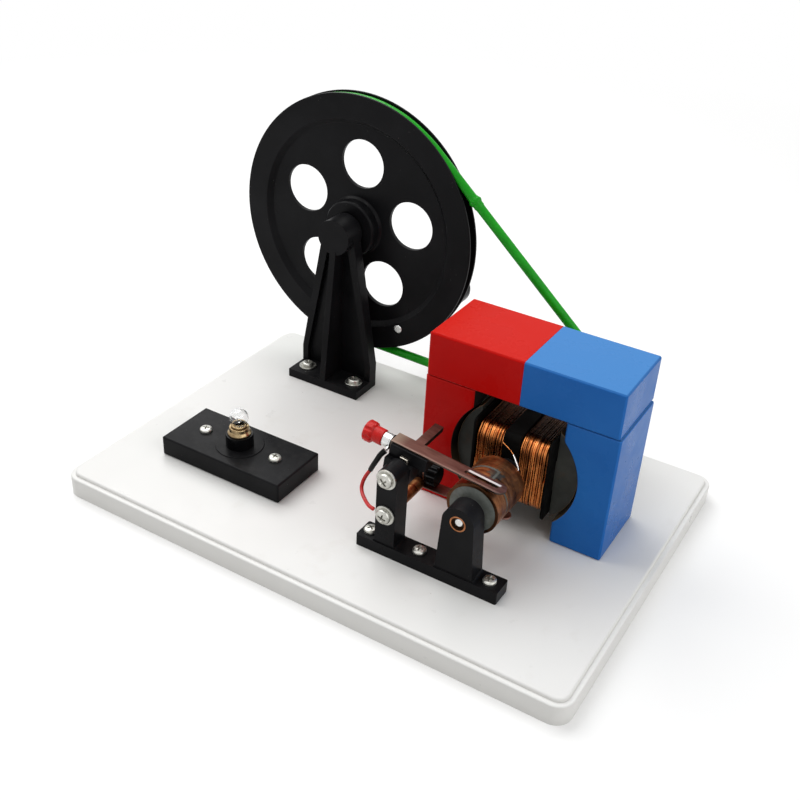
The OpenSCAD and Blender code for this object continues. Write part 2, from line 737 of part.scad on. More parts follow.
module crank_pin() color(steel) difference() {
    turned_y(pin_x, pin_z, [[0, wheel_y0 - pin_proud], [pin_d / 2 - 0.5, wheel_y0 - pin_proud],
        [pin_d / 2, wheel_y0], [pin_d / 2, wheel_y1], [pin_collar_d / 2, wheel_y1],
        [pin_collar_d / 2, wheel_y1 + pin_collar_t], [pin_d / 2, wheel_y1 + pin_collar_t],
        [pin_d / 2, pin_y1], [0, pin_y1]]);
    rod_y(pin_x, pin_z, pin_y1 - 12, pin_y1 + over, grip_screw_d + 2 * snug);
}

module crank_grip() color(black_plastic) {
    r0 = grip_root_d / 2;
    r1 = grip_end_d / 2;
    end_r = 5;
    turned_y(pin_x, pin_z, concat([[pin_d / 2 + running, grip_y0]],
        arc([r0 - 1.5, grip_y0 + 1.5], 1.5, -90, -10, 4),
        [for (i = [1:11]) let (t = i / 12, y = grip_y0 + 1.5 + t * (grip_l - 1.5 - end_r))
            [r0 + (r1 - r0) * (3 * t * t - 2 * t * t * t), y]],
        arc([r1 - end_r, grip_y1 - end_r], end_r, 0, 80, 5),
        [[(pin_collar_d - 1) / 2, grip_y1], [(pin_collar_d - 1) / 2, grip_seat_y],
        [pin_d / 2 + running, grip_seat_y]]));
}

module grip_screw() color(steel) translate([pin_x, pin_y1, pin_z]) rotate([-90, 0, 0])
    pan_screw(grip_screw_d, 10, big_head_d, foot_head_h);

// Belt loop and pulley
belt_dx = axis_x - wheel_x;
belt_dz = axis_z - wheel_z;
belt_span = norm([belt_dx, belt_dz]);
belt_slope = atan2(belt_dz, belt_dx);
belt_turn = acos((wheel_belt_r - pulley_belt_r) / belt_span);
belt_run = sqrt(belt_span * belt_span - pow(wheel_belt_r - pulley_belt_r, 2));

// A station of the belt: its centre, its outward direction and its radius
function arc_stations(x, z, r, a0, a1, n) = [for (i = [0:n]) let (a = a0 + (a1 - a0) * i / n)
    [x + r * cos(a), z + r * sin(a), a, belt_d / 2]];
function weld_stations(a) = [for (w = [[38, 0], [39, 0.8], [43, 0.8], [44, 0]])
    [wheel_x + wheel_belt_r * cos(a) + w[0] * sin(a), wheel_z + wheel_belt_r * sin(a) - w[0] * cos(a), a,
    belt_d / 2 + w[1]]];
BELT = concat(
    arc_stations(wheel_x, wheel_z, wheel_belt_r, belt_slope - belt_turn, belt_slope + belt_turn - 360, 46),
    weld_stations(belt_slope + belt_turn),
    arc_stations(axis_x, axis_z, pulley_belt_r, belt_slope + belt_turn, belt_slope - belt_turn, 18));

module drive_belt() color(belt_green) {
    sides = 16;
    n = len(BELT);
    points = [for (b = BELT, k = [0:sides - 1]) let (c = b[3] * cos(360 * k / sides))
        [b[0] + c * cos(b[2]), belt_y + b[3] * sin(360 * k / sides), b[1] + c * sin(b[2])]];
    polyhedron(points, [for (i = [0:n - 1], k = [0:sides - 1])
        let (a = i * sides + k, b = i * sides + (k + 1) % sides,
            c = (i + 1) % n * sides + (k + 1) % sides, d = (i + 1) % n * sides + k)
        each [[a, c, b], [a, d, c]]]);
}

module pulley() color(black_plastic) difference() {
    r = pulley_belt_r + lip_h;
    hub_r = pulley_hub_d / 2;
    turned_y(axis_x, axis_z, concat([[journal_d / 2 + snug, pulley_hub_y0], [hub_r - 0.5, pulley_hub_y0],
        [hub_r, pulley_hub_y0 + 0.5], [hub_r, pulley_y0], [r - 0.4, pulley_y0], [r, pulley_y0 + 0.4]],
        groove(pulley_belt_r), [[r, pulley_y1 - 0.4], [r - 0.4, pulley_y1],
        [journal_d / 2 + snug, pulley_y1]]));
    rod_z(axis_x, (pulley_hub_y0 + pulley_y0) / 2, axis_z, axis_z + r, 3 + 2 * snug);
}

module pulley_set_screw() color(steel) difference() {
    y = (pulley_hub_y0 + pulley_y0) / 2;
    rod_z(axis_x, y, axis_z + journal_d / 2 + snug, axis_z + pulley_hub_d / 2 + 0.6, 3);
    box(axis_x - 2, axis_x + 2, y - 0.3, y + 0.3, axis_z + pulley_hub_d / 2 - 0.2, axis_z + pulley_hub_d);
}

// Magnets
pole_top = top_z + pole_h;

module bar_half(side, tint) color(tint) intersection() {
    bevelled_block([axis_x - bar_l / 2, pole_front_y + (pole_d - bar_d) / 2, pole_top],
        [bar_l, bar_d, bar_h], magnet_bevel);
    translate([side < 0 ? axis_x - bar_l : axis_x, pole_front_y - bar_d, pole_top - over])
        cube([bar_l, 3 * bar_d, bar_h + 2 * over]);
}

module magnet_bar_red() bar_half(-1, magnet_red);

module magnet_bar_blue() bar_half(1, magnet_blue);

module pole(side, tint) color(tint) difference() {
    x0 = side < 0 ? axis_x - pole_gap / 2 - pole_w : axis_x + pole_gap / 2;
    bevelled_block([x0, pole_front_y, top_z], [pole_w, pole_d, pole_h], magnet_bevel);
    rod_y(axis_x, axis_z, pole_front_y - over, pole_front_y + pole_d + over, core_d + 2 * air_gap);
    for (p = pole_places) rod_z(p[0], p[1], top_z - over, top_z + 10, foot_screw_d + 2 * snug);
}

module pole_red() pole(-1, magnet_red);

module pole_blue() pole(1, magnet_blue);

module pole_screws() color(steel) for (p = pole_places) translate([p[0], p[1], pole_boss_foot])
    rotate([180, 0, 0]) pan_screw(foot_screw_d, base_h - pole_boss_foot + 9, foot_head_d, foot_head_h);

// Armature
module armature_shaft() color(steel) turned_y(axis_x, axis_z, [[0, shaft_y0],
    [journal_d / 2 - shaft_tip_bevel, shaft_y0], [journal_d / 2, shaft_y0 + shaft_tip_bevel],
    [journal_d / 2, front_post_back + gap], [shaft_d / 2, front_post_back + gap],
    [shaft_d / 2, rear_post_y - gap], [journal_d / 2, rear_post_y - gap],
    [journal_d / 2, shaft_y1 - shaft_tip_bevel], [journal_d / 2 - shaft_tip_bevel, shaft_y1],
    [0, shaft_y1]]);

module armature_core() color(dark_steel) difference() {
    rod_y(axis_x, axis_z, core_y0, core_y1, core_d);
    for (s = [-1, 1]) translate([axis_x, 0, axis_z]) along_y(core_y0 - over, core_y1 + over)
        rect(-slot_half, slot_half, s < 0 ? -core_d : neck_h / 2, s < 0 ? -neck_h / 2 : core_d);
    rod_y(axis_x, axis_z, core_y0 - over, core_y1 + over, shaft_d + 2 * snug);
}

// Opening that fits round the core's neck, drawn in Y and Z about the axis
module neck_opening(t) {
    rect(core_y0 - lining_fit - t, core_y1 + lining_fit + t,
        -neck_h / 2 - lining_fit - t, neck_h / 2 + lining_fit + t);
}

module slot_lining() color(black_plastic) for (s = [0, 1]) translate([axis_x, 0, axis_z]) mirror([s, 0, 0]) {
    along_x(hub_half, cheek_x1) difference() {
        neck_opening(lining_t);
        neck_opening(0);
    }
    along_x(cheek_x0, cheek_x1) difference() {
        rounded_rect(hub_y0, hub_y1, -cheek_rise, cheek_rise, 3);
        neck_opening(0);
    }
}

module armature_hub() color(black_plastic) difference() {
    translate([axis_x, 0, axis_z]) along_x(-hub_half, hub_half) difference() {
        rounded_rect(hub_y0, hub_y1, -hub_rise, hub_rise, 4);
        neck_opening(0);
    }
    rod_y(axis_x, axis_z, hub_y0 - over, hub_y1 + over, shaft_d + 2 * snug);
}

// Inner layers of both windings, under the outer turns
module coil_packs() color(copper) for (s = [0, 1]) translate([axis_x, 0, axis_z]) mirror([s, 0, 0])
    along_x(hub_half + gap / 2, cheek_x0 - gap / 2) difference() {
        inset = wire_r + pack_gap;
        rounded_rect(coil_y0 + inset, coil_y1 - inset, -coil_rise + inset, coil_rise - inset,
            coil_bend - inset);
        neck_opening(lining_t + pack_gap);
    }

// One turn as [y, z] points: five round each corner and one halfway along each side
function turn_point(k) = let (c = floor(k / 6) % 4, j = k % 6,
    cy = (c == 0 || c == 3 ? 1 : -1), cz = (c < 2 ? 1 : -1),
    corner = function (q, a) [(q[0] > 0 ? coil_y1 - coil_bend : coil_y0 + coil_bend) + coil_bend * cos(a),
        q[1] * (coil_rise - coil_bend) + coil_bend * sin(a)],
    mid = [c == 0 ? (coil_y0 + coil_y1) / 2 : c == 1 ? coil_y0 : c == 2 ? (coil_y0 + coil_y1) / 2 : coil_y1,
        c == 0 ? coil_rise : c == 1 ? 0 : c == 2 ? -coil_rise : 0])
    j < 5 ? corner([cy, cz], 90 * c + 22.5 * j) : mid;

// The outer layer: from the hub's side straight out, round the neck turn by turn, and to the cheek
first_ring = 11;
TURN_POINTS = [for (i = [0:turns * rings_per_turn]) let (q = turn_point(i + first_ring))
    [coil_x0 + turn_pitch * i / rings_per_turn, q[0], q[1]]];
WINDING = concat([[hub_half, coil_y0, 0]], TURN_POINTS, [[cheek_x0, coil_y0, 0]]);
// Least gap between neighbouring turns, from ring to ring
TURN_GAP = min([for (i = [0:len(WINDING) - 1 - rings_per_turn / 2],
    j = [i + rings_per_turn / 2:min(i + 3 * rings_per_turn / 2, len(WINDING) - 1)])
    norm(WINDING[i] - WINDING[j])]) - wire_d;
echo(least_gap_between_turns = TURN_GAP);

module winding(s) color(copper) translate([axis_x, 0, axis_z]) mirror([s, 0, 0])
    wire(WINDING, wire_d, wire_sides, [0, 0, 1]);

module winding_left() winding(1);

module winding_right() winding(0);

// Commutator barrel
ring_r = barrel_r - copper_t;
front_split_y = barrel_y0 + front_ring_l;
rear_split_y = barrel_y1 - rear_ring_l;

// A tube of the barrel from y0 to y1, without its half on one side of the split from cut0 to cut1
module split_tube(y0, y1, cut0, cut1, side, r) {
    translate([axis_x, 0, axis_z]) difference() {
        along_y(y0, y1) difference() {
            circle(r, $fn = 96);
            circle(ring_r, $fn = 96);
        }
        along_y(cut0, cut1) rotate(split_angle) rect(-2 * barrel_r, 2 * barrel_r,
            side > 0 ? -split_w / 2 : -2 * barrel_r, side > 0 ? 2 * barrel_r : split_w / 2);
    }
}

module ring_front(r, end = 0) {
    split_tube(barrel_y0 - end, rear_split_y - split_w, front_split_y, barrel_y1, -1, r);
}

module ring_rear(r, end = 0) {
    split_tube(front_split_y + split_w, barrel_y1 + end, barrel_y0, rear_split_y, 1, r);
}

module barrel_ring_front() color(copper) ring_front(barrel_r);

module barrel_ring_rear() color(copper) ring_rear(barrel_r);

module barrel_core() color(fibre_grey) difference() {
    rod_y(axis_x, axis_z, barrel_y0, barrel_y1, barrel_d - 2 * rib_drop);
    ring_front(barrel_r + over, over);
    ring_rear(barrel_r + over, over);
    rod_y(axis_x, axis_z, barrel_y0 - over, barrel_y1 + over, shaft_d + 2 * snug);
}

module spacer_sleeve() color(black_plastic) difference() {
    rod_y(axis_x, axis_z, barrel_y1 + snug, hub_y0 - snug, shaft_d * 2);
    rod_y(axis_x, axis_z, barrel_y1 - over, hub_y0 + over, shaft_d + 2 * snug);
}

module coil_leads() color(copper) translate([axis_x, 0, axis_z]) {
    wire(UPPER_END, lead_wire_d, 8, [0, 0, 1]);
    wire(LOWER_END, lead_wire_d, 8, [0, 0, 1]);
}

// Front bracket with the brush post and the front bearing post, and the rear bearing bracket
module bearing_outline() {
    w = bearing_foot_w / 2;
    polygon([[axis_x - w, top_z], [axis_x + w, top_z], [axis_x + w, top_z + foot_h],
        [axis_x + bearing_r, axis_z], [axis_x - bearing_r, axis_z], [axis_x - w, top_z + foot_h]]);
    translate([axis_x, axis_z]) circle(bearing_r);
    for (s = [-1, 1]) fillet([axis_x + s * (w - 0.2), top_z + foot_h], fillet_r, s, 1);
}

module brush_post_outline() {
    w = brush_post_w / 2;
    rect(brush_post_x - w, brush_post_x + w, top_z, upper_screw_z);
    translate([brush_post_x, upper_screw_z]) circle(w);
    for (s = [-1, 1]) fillet([brush_post_x + s * (w - 0.05), top_z + foot_h], fillet_r, s, 1);
}

module bracket_foot(x0, x1, y) {
    translate([0, 0, top_z]) linear_extrude(foot_h)
        rounded_rect(x0, x1, y - foot_d / 2, y + foot_d / 2, 1);
}

module foot_holes(places) {
    for (p = places) rod_z(p[0], p[1], top_z - over, top_z + foot_h + over, foot_screw_d + 2 * loose);
}

module foot_screws(places, h) {
    for (p = places) translate([p[0], p[1], top_z + h])
        pan_screw(foot_screw_d, foot_screw_l, foot_head_d, foot_head_h);
}

module front_bracket() color(black_plastic) difference() {
    union() {
        bracket_foot(front_foot_x0, front_foot_x1, front_foot_y);
        along_y(front_post_y, front_post_back) {
            bearing_outline();
            brush_post_outline();
        }
    }
    foot_holes(front_places);
    rod_y(axis_x, axis_z, front_post_y - over, front_post_back + over, bush_d + 2 * snug);
    for (z = [upper_screw_z, lower_screw_z])
        rod_y(brush_post_x, z, front_post_y - over, front_post_back + over, brush_screw_d + 2 * loose);
}

module rear_bracket() color(black_plastic) difference() {
    union() {
        bracket_foot(axis_x - rear_foot_l / 2, axis_x + rear_foot_l / 2, rear_foot_y);
        along_y(rear_post_y, rear_post_back) bearing_outline();
    }
    foot_holes(rear_places);
    rod_y(axis_x, axis_z, rear_post_y - over, rear_post_back + over, bush_d + 2 * snug);
}

module bush(y0) color(bronze) difference() {
    rod_y(axis_x, axis_z, y0, y0 + post_t, bush_d);
    rod_y(axis_x, axis_z, y0 - over, y0 + post_t + over, journal_d + 2 * running);
    for (y = [y0 - over, y0 + post_t - bush_sink])
        rod_y(axis_x, axis_z, y, y + over + bush_sink, bush_d - 2 * bush_lip);
}

module front_bush() bush(front_post_y);

module rear_bush() bush(rear_post_y);

module front_bracket_screws() color(steel) foot_screws(front_places, foot_h);

module rear_bracket_screws() color(steel) foot_screws(rear_places, foot_h);

// Brush gear
module brush_screws() color(steel) for (s = [[upper_screw_z, post_t + 8], [lower_screw_z, post_t + 12]])
    translate([brush_post_x, front_post_y, s[0]]) rotate([90, 0, 0]) {
        washer(big_washer_d, brush_screw_d + 2 * loose, washer_t);
        translate([0, 0, washer_t + seat]) pan_screw(brush_screw_d, s[1] + washer_t, big_head_d, big_head_h);
    }

// The upper brush gear swivels on its screw until the strip lies over the barrel with the brush gap
screw_dx = axis_x - brush_post_x;
screw_dz = upper_screw_z - axis_z;
brush_tilt = atan2(screw_dz, screw_dx)
    + asin((block_rise - barrel_r - brush_gap) / norm([screw_dx, screw_dz]));
echo(brush_tilt = brush_tilt);

module swivelled() {
    translate([brush_post_x, 0, upper_screw_z]) rotate([0, brush_tilt, 0])
        translate([-brush_post_x, 0, -upper_screw_z]) children();
}

module upper_brush_block() color(black_plastic) swivelled() difference() {
    union() {
        box(block_x0, block_x1, block_y0, block_y1, block_step_z, block_z1);
        box(block_base_x0, block_base_x1, front_post_back, block_base_y1, block_z0, block_step_z);
    }
    rod_y(brush_post_x, upper_screw_z, front_post_back - over, front_post_back + 10,
        brush_screw_d + 2 * snug);
    rod_x(stud_y, stud_z, block_x0 - over, block_x0 + 10, stud_d + 2 * snug);
}

// The strip's plan in X and Y, with the round tip, the slot and the arm
module strip_plan() {
    tip_x = strip_tip_x - upper_strip_w / 2;
    difference() {
        union() {
            rect(block_x0 - strip_t, tip_x, strip_y0, strip_y1);
            translate([tip_x, stud_y]) circle(upper_strip_w / 2);
            rect(arm_x0, arm_x1, strip_y1 - over, arm_y1);
        }
        rounded_rect(tip_x - slot_len, tip_x, stud_y - slot_wide / 2, stud_y + slot_wide / 2,
            slot_wide / 2 - 0.01);
    }
}

module upper_brush() color(steel) swivelled() difference() {
    union() {
        translate([0, 0, block_z1]) linear_extrude(strip_t) strip_plan();
        box(block_x0 - strip_t, block_x0, strip_y0, strip_y1, block_step_z, block_z1 + strip_t);
        box(arm_x1 - strip_t, arm_x1, block_y1 + gap, arm_y1, block_z1 + strip_t - arm_lip,
            block_z1 + strip_t);
    }
    rod_x(stud_y, stud_z, block_x0 - 3, block_x0 + 1, stud_d + 2 * loose);
}

module block_nut() color(steel) swivelled() bevelled_block([brush_post_x - 1.4,
    block_y0 - 2, block_step_z + seat], [5, 2, 4], 0.3);

module red_terminal_stud() color(brass) swivelled()
    rod_x(stud_y, stud_z, red_cap_x0 + 3, block_x0 + 10, stud_d);

module stud_washer() color(black_plastic) swivelled() translate([stud_washer_x, stud_y, stud_z])
    rotate([0, 90, 0]) washer(stud_washer_d, stud_d + 2 * snug, stud_washer_t);

module lead_lug() color(steel) swivelled() difference() {
    union() {
        rod_x(stud_y, stud_z, lug_x, lug_x + lug_t, lug_d);
        translate([0, stud_y, stud_z]) rotate([lug_tilt, 0, 0])
            box(lug_x, lug_x + lug_t, -lug_reach, -lug_d / 4, -lug_w / 2, lug_w / 2);
    }
    rod_x(stud_y, stud_z, lug_x - over, lug_x + lug_t + over, stud_d + 2 * snug);
}

module stud_collar() color(steel) swivelled() translate([collar_x, stud_y, stud_z]) rotate([0, 90, 0])
    washer(collar_ring_d, stud_d + 2 * snug, collar_l);

// A fluted thumb cap along +X from x = 0: neck towards the joint, grooved head, blind bore
module thumb_cap(l, d, neck_d, head_l, flutes, bore_l) {
    e = cap_edge;
    difference() {
        rotate([0, 90, 0]) rotate_extrude() polygon([[0, 0], [d / 2 - e, 0],
            [d / 2, e], [d / 2, head_l - e], [d / 2 - e, head_l], [neck_d / 2 + e / 2, head_l],
            [neck_d / 2, head_l + e / 2], [neck_d / 2, l - e / 2], [neck_d / 2 - e / 2, l], [0, l]]);
        for (k = [0:flutes - 1]) rotate([360 * k / flutes, 0, 0]) translate([-over, 0, d / 2 + flute_d / 5])
            rotate([0, 90, 0]) cylinder(d = flute_d, h = head_l + over + snug, $fn = 24);
        translate([l - bore_l, 0, 0]) rotate([0, 90, 0])
            cylinder(d = stud_d + 2 * running, h = bore_l + over);
    }
}

module red_terminal_cap() color(cap_red) swivelled() translate([red_cap_x0, stud_y, stud_z])
    thumb_cap(red_cap_l, red_cap_d, red_neck_d, red_head_l, 8, red_cap_l - cap_end_t);

module lead_sleeve() color(black_plastic) wire(SLEEVE_ROUTE, sleeve_d, 8, [0, 1, 0]);

module red_lead() color(cap_red) wire(LEAD_ROUTE, lead_d, 8, [0, 1, 0]);

module lower_pillar() color(copper) difference() {
    union() {
        rod_y(brush_post_x, lower_screw_z, front_post_back, lower_block_y0, pillar_d);
        rod_y(brush_post_x, lower_screw_z, lower_block_y0 - over, lower_block_y0 + 6, 3);
    }
    rod_y(brush_post_x, lower_screw_z, front_post_back - over, front_post_back + 14,
        brush_screw_d + 2 * snug);
}

module lower_brush_block() color(black_plastic) difference() {
    box(lower_block_x0, lower_block_x1, lower_block_y0, lower_block_y1, lower_block_z0, lower_block_z1);
    rod_y(brush_post_x, lower_screw_z, lower_block_y0 - over, lower_block_y0 + 6.2, 3 + 2 * snug);
    rod_x(lower_stud_y, lower_stud_z, lower_block_x1 - 8, lower_block_x1 + over, stud_d + 2 * snug);
}

module lower_brush() color(steel) difference() {
    union() {
        box(lower_block_x1, lower_block_x1 + strip_t, lower_strip_y0, lower_strip_y1,
            lower_strip_z - strip_t, lower_block_z1 - 1);
        box(lower_block_x1, lower_tip_x - lower_strip_w / 2, lower_strip_y0, lower_strip_y1,
            lower_strip_z - strip_t, lower_strip_z);
        rod_z(lower_tip_x - lower_strip_w / 2, lower_stud_y, lower_strip_z - strip_t, lower_strip_z,
            lower_strip_w);
    }
    rod_x(lower_stud_y, lower_stud_z, lower_block_x1 - over, lower_block_x1 + 3, stud_d + 2 * loose);
}

module black_terminal_stud() color(brass)
    rod_x(lower_stud_y, lower_stud_z, lower_block_x1 - 8, black_cap_x1 - 2.5, stud_d);

module black_terminal_cap() color(black_plastic) translate([black_cap_x1, lower_stud_y, lower_stud_z])
    rotate([0, 0, 180]) thumb_cap(black_cap_l, black_cap_d, black_cap_d - 3, black_cap_l - black_rim_l, 12,
        black_cap_l - 2);

// Lamp holder
module lamp_block() color(black_plastic) difference() {
    union() {
        bevelled_block([lamp_x - lamp_l / 2, lamp_y - lamp_w / 2, top_z], [lamp_l, lamp_w, lamp_h], 0.8);
        rod_z(lamp_x, lamp_y, lamp_top - 1, lamp_top + disc_h, disc_d);
    }
    rod_z(lamp_x, lamp_y, socket_z0, lamp_top + over, socket_d + 2 * snug);
    for (p = lamp_places) rod_z(p[0], p[1], top_z - over, lamp_top + over, foot_screw_d + 2 * loose);
}

module lamp_screws() color(steel) for (p = lamp_places) translate([p[0], p[1], lamp_top])
    pan_screw(foot_screw_d, foot_screw_l + lamp_h - foot_h, foot_head_d, foot_head_h);

module socket_collar() color(black_plastic) translate([lamp_x, lamp_y, collar_z0])
    washer(collar_d, socket_d + 2 * snug, collar_h);

module socket_shell() color(brass) difference() {
    translate([lamp_x, lamp_y, 0]) rotate_extrude() polygon([[0, socket_z0], [socket_d / 2, socket_z0],
        [socket_d / 2, collar_z1], [socket_flange_d / 2, collar_z1], [socket_flange_d / 2, collar_z1 + 1],
        [socket_d / 2 + 0.4, collar_z1 + 2.4], [socket_d / 2 + 0.4, socket_z1 - 0.4],
        [socket_d / 2, socket_z1], [0, socket_z1]]);
    rod_z(lamp_x, lamp_y, socket_z0 + 1, socket_z1 + over, socket_bore_d);
}

module bulb_cap() color(brass) translate([lamp_x, lamp_y, 0]) difference() {
    rotate_extrude() polygon([[0, cap_z0 - 0.9], [1.6, cap_z0 - 0.7], [2.2, cap_z0], [cap_d / 2 - 0.8, cap_z0],
        [cap_d / 2, cap_z0 + 0.8], [cap_d / 2, socket_z1 + 0.4], [cap_d / 2 + 0.5, socket_z1 + 0.6],
        [cap_d / 2 + 0.5, cap_z1 - 0.4], [cap_d / 2 + 0.1, cap_z1], [0, cap_z1]]);
    rod_z(0, 0, cap_z0 + 6, cap_z1 + over, cap_d - 1.6);
}

module bulb_glass() color([0.85, 0.9, 0.92, 0.35]) translate([lamp_x, lamp_y, 0]) rotate_extrude() {
    r = globe_d / 2;
    neck = cap_d / 2 - 0.8 - snug;
    join = asin(neck / r);
    outer = concat([[neck, cap_z0 + 7]], arc([0, globe_z], r, join - 90, 90, 14));
    inner = concat([[neck - glass_t, cap_z0 + 7]],
        arc([0, globe_z], r - glass_t, asin((neck - glass_t) / (r - glass_t)) - 90, 90, 14));
    polygon(concat(outer, [for (i = [len(inner) - 1:-1:0]) inner[i]]));
}

module bulb_filament() color(steel) translate([lamp_x, lamp_y, 0]) {
    rod_z(0, 0, cap_z0 + 6, cap_z0 + 8, 5.5);
    for (s = [-1, 1]) rod_z(1.4 * s, 0, cap_z0 + 7, globe_z - 0.4, 0.6);
    rod_z(0, 0, cap_z0 + 7, globe_z - 3.6, 1);
    translate([0, 0, globe_z - 0.4]) rod_x(0, 0, -1.6, 1.6, 0.6);
}

base_plate();
wheel_post();
wheel_post_screws();
wheel_axle();
axle_washers();
axle_nut();
drive_wheel();
wheel_bush();
crank_pin();
crank_grip();
grip_screw();
drive_belt();
pulley();
pulley_set_screw();
magnet_bar_red();
magnet_bar_blue();
pole_red();
pole_blue();
pole_screws();
armature_shaft();
armature_core();
slot_lining();
armature_hub();
coil_packs();
winding_left();
winding_right();
barrel_core();
barrel_ring_front();
barrel_ring_rear();
spacer_sleeve();
coil_leads();
front_bracket();
front_bush();
front_bracket_screws();
rear_bracket();
rear_bush();
rear_bracket_screws();
brush_screws();
upper_brush_block();
upper_brush();
block_nut();
red_terminal_stud();
stud_washer();
lead_lug();
stud_collar();
red_terminal_cap();
lead_sleeve();
red_lead();
lower_pillar();
lower_brush_block();
lower_brush();
black_terminal_stud();
black_terminal_cap();
lamp_block();
lamp_screws();
socket_collar();
socket_shell();
bulb_cap();
bulb_glass();
bulb_filament();
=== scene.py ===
"""Looks of the hand crank generator: camera, light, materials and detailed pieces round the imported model."""
import math
import random

import bmesh
import bpy
from mathutils import Matrix, Vector
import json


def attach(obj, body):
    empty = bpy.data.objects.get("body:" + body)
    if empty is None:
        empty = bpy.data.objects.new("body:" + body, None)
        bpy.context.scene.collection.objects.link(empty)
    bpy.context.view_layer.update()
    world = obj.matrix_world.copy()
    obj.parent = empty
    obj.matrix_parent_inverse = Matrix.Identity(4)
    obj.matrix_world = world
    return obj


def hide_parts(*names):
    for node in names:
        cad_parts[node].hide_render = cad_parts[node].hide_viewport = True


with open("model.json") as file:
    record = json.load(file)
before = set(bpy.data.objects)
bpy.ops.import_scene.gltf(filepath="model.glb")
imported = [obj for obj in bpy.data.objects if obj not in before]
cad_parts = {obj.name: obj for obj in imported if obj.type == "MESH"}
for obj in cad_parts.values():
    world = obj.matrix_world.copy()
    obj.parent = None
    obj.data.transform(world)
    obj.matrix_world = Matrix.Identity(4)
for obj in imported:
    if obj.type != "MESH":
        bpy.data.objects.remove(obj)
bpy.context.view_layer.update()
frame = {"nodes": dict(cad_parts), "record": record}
NODES = frame["nodes"]
MM = 0.001

# Camera of the photograph, solved from its edges: a turn in radians and a shift in mm, world to camera
PHOTO_PX = 800
FOCAL_PX = 1054.84
SENSOR_MM = 36.0
CAMERA_TURN = (2.0529, 0.6079, -0.273)
CAMERA_SHIFT = (-3.3349, 58.8886, 665.1174)

# Lights: name, place and size in metres, power in watts
LIGHT_TARGET = (0, 0, 0.05)
LIGHTS = (("key", (-0.9, 0.3, 1.5), (1.9, 1.5), 27),
          ("fill", (1.4, -0.15, 0.85), (1.3, 1.0), 7.5),
          ("glint", (0.0, -0.5, 1.2), (0.2, 0.13), 1.0))
SKY_STRENGTH = 0.3
FLOOR_HALF = 4.0  # half the floor's side, in metres

# Places of the joints, in mm, from the record
JOINTS = {j["name"]: [v / MM for v in j["pos_m"]] for j in frame["record"]["behaviour"]["joints"]}
AXIS = JOINTS["armature_spin"][::2]  # x and z
WHEEL = JOINTS["wheel_spin"][::2]  # x and z
BELT_Y = JOINTS["wheel_spin"][1]
LAMP_X, LAMP_Y = JOINTS["bulb_turn"][:2]

# Sizes below are in mm
BARREL_R = 15.5

# Magnet: where the paint ends, a hair behind the faces of the bore and the gap, and the bar's underside
BORE_R = 39.8
GAP_HALF = 28.06
BAR_BOTTOM = 97.0

# Windings, from the axis: the loop's ends along y, its half height, its bend and its sides along x
COIL_FRONT, COIL_BACK = -9.5, 49.5
COIL_RISE, COIL_BEND = 22.5, 8.0
COIL_NEAR, COIL_FAR = 5.85, 21.6
COIL_OVERHANG = 0.5  # how far the outermost turns stand past those sides
TURNS = 14

# Belt: its line lies a little deeper on the wheel than the solid's, and is pressed flatter there
BELT_R = 3.0
BELT_WHEEL_R, BELT_PULLEY_R = 85.3, 21.5
BELT_PRESS = 0.45
WELD_AT, WELD_TAIL = 41, 44.6  # the welded joint's lump, from the wheel along the upper run

# Screws and washers, and the screws' seats
SCREW_D = 3.9
WASHER_D, WASHER_HOLE, WASHER_T = 12, 4.4, 1.2
HEAD_GAP = 0.02
POST_SEATS = [(x, 68, 21) for x in (-116, -77)]
FRONT_SEATS = [(x, -63.25, 22.5) for x in (22, 54, 97.7)]
REAR_SEATS = [(x, 74.25, 22.5) for x in (57.5, 99.5)]
LAMP_SEATS = [(LAMP_X + x, LAMP_Y, 28) for x in (-27, 27)]
BRUSH_SEATS = [(34.5, -69.5, z) for z in (67.5, 43.5)]

# The lead's line and its sleeve's
LEAD_R = 1.1
LEAD = [[14.3, -54, 56], [12.7, -55.4, 52.6], [11.9, -57.2, 49.2], [12.3, -59.2, 46.4],
        [14.5, -61.8, 44.9], [17.9, -64.8, 44.5], [21.7, -68, 44.9], [24.7, -70.2, 45.5], [27.9, -71, 45.5]]
SLEEVE_R, SLEEVE_TAPER = 1.7, 0.25
SLEEVE = [[23.5, -53.95, 72.9], [22.6, -54.8, 71.9], [21.1, -55.5, 69.7], [19.4, -55.6, 66.1],
          [17.1, -55.2, 61.6], [14.45, -53.9, 56.35]]


def mm(p):
    """A point in mm as a Vector in metres."""
    return Vector(p) * MM


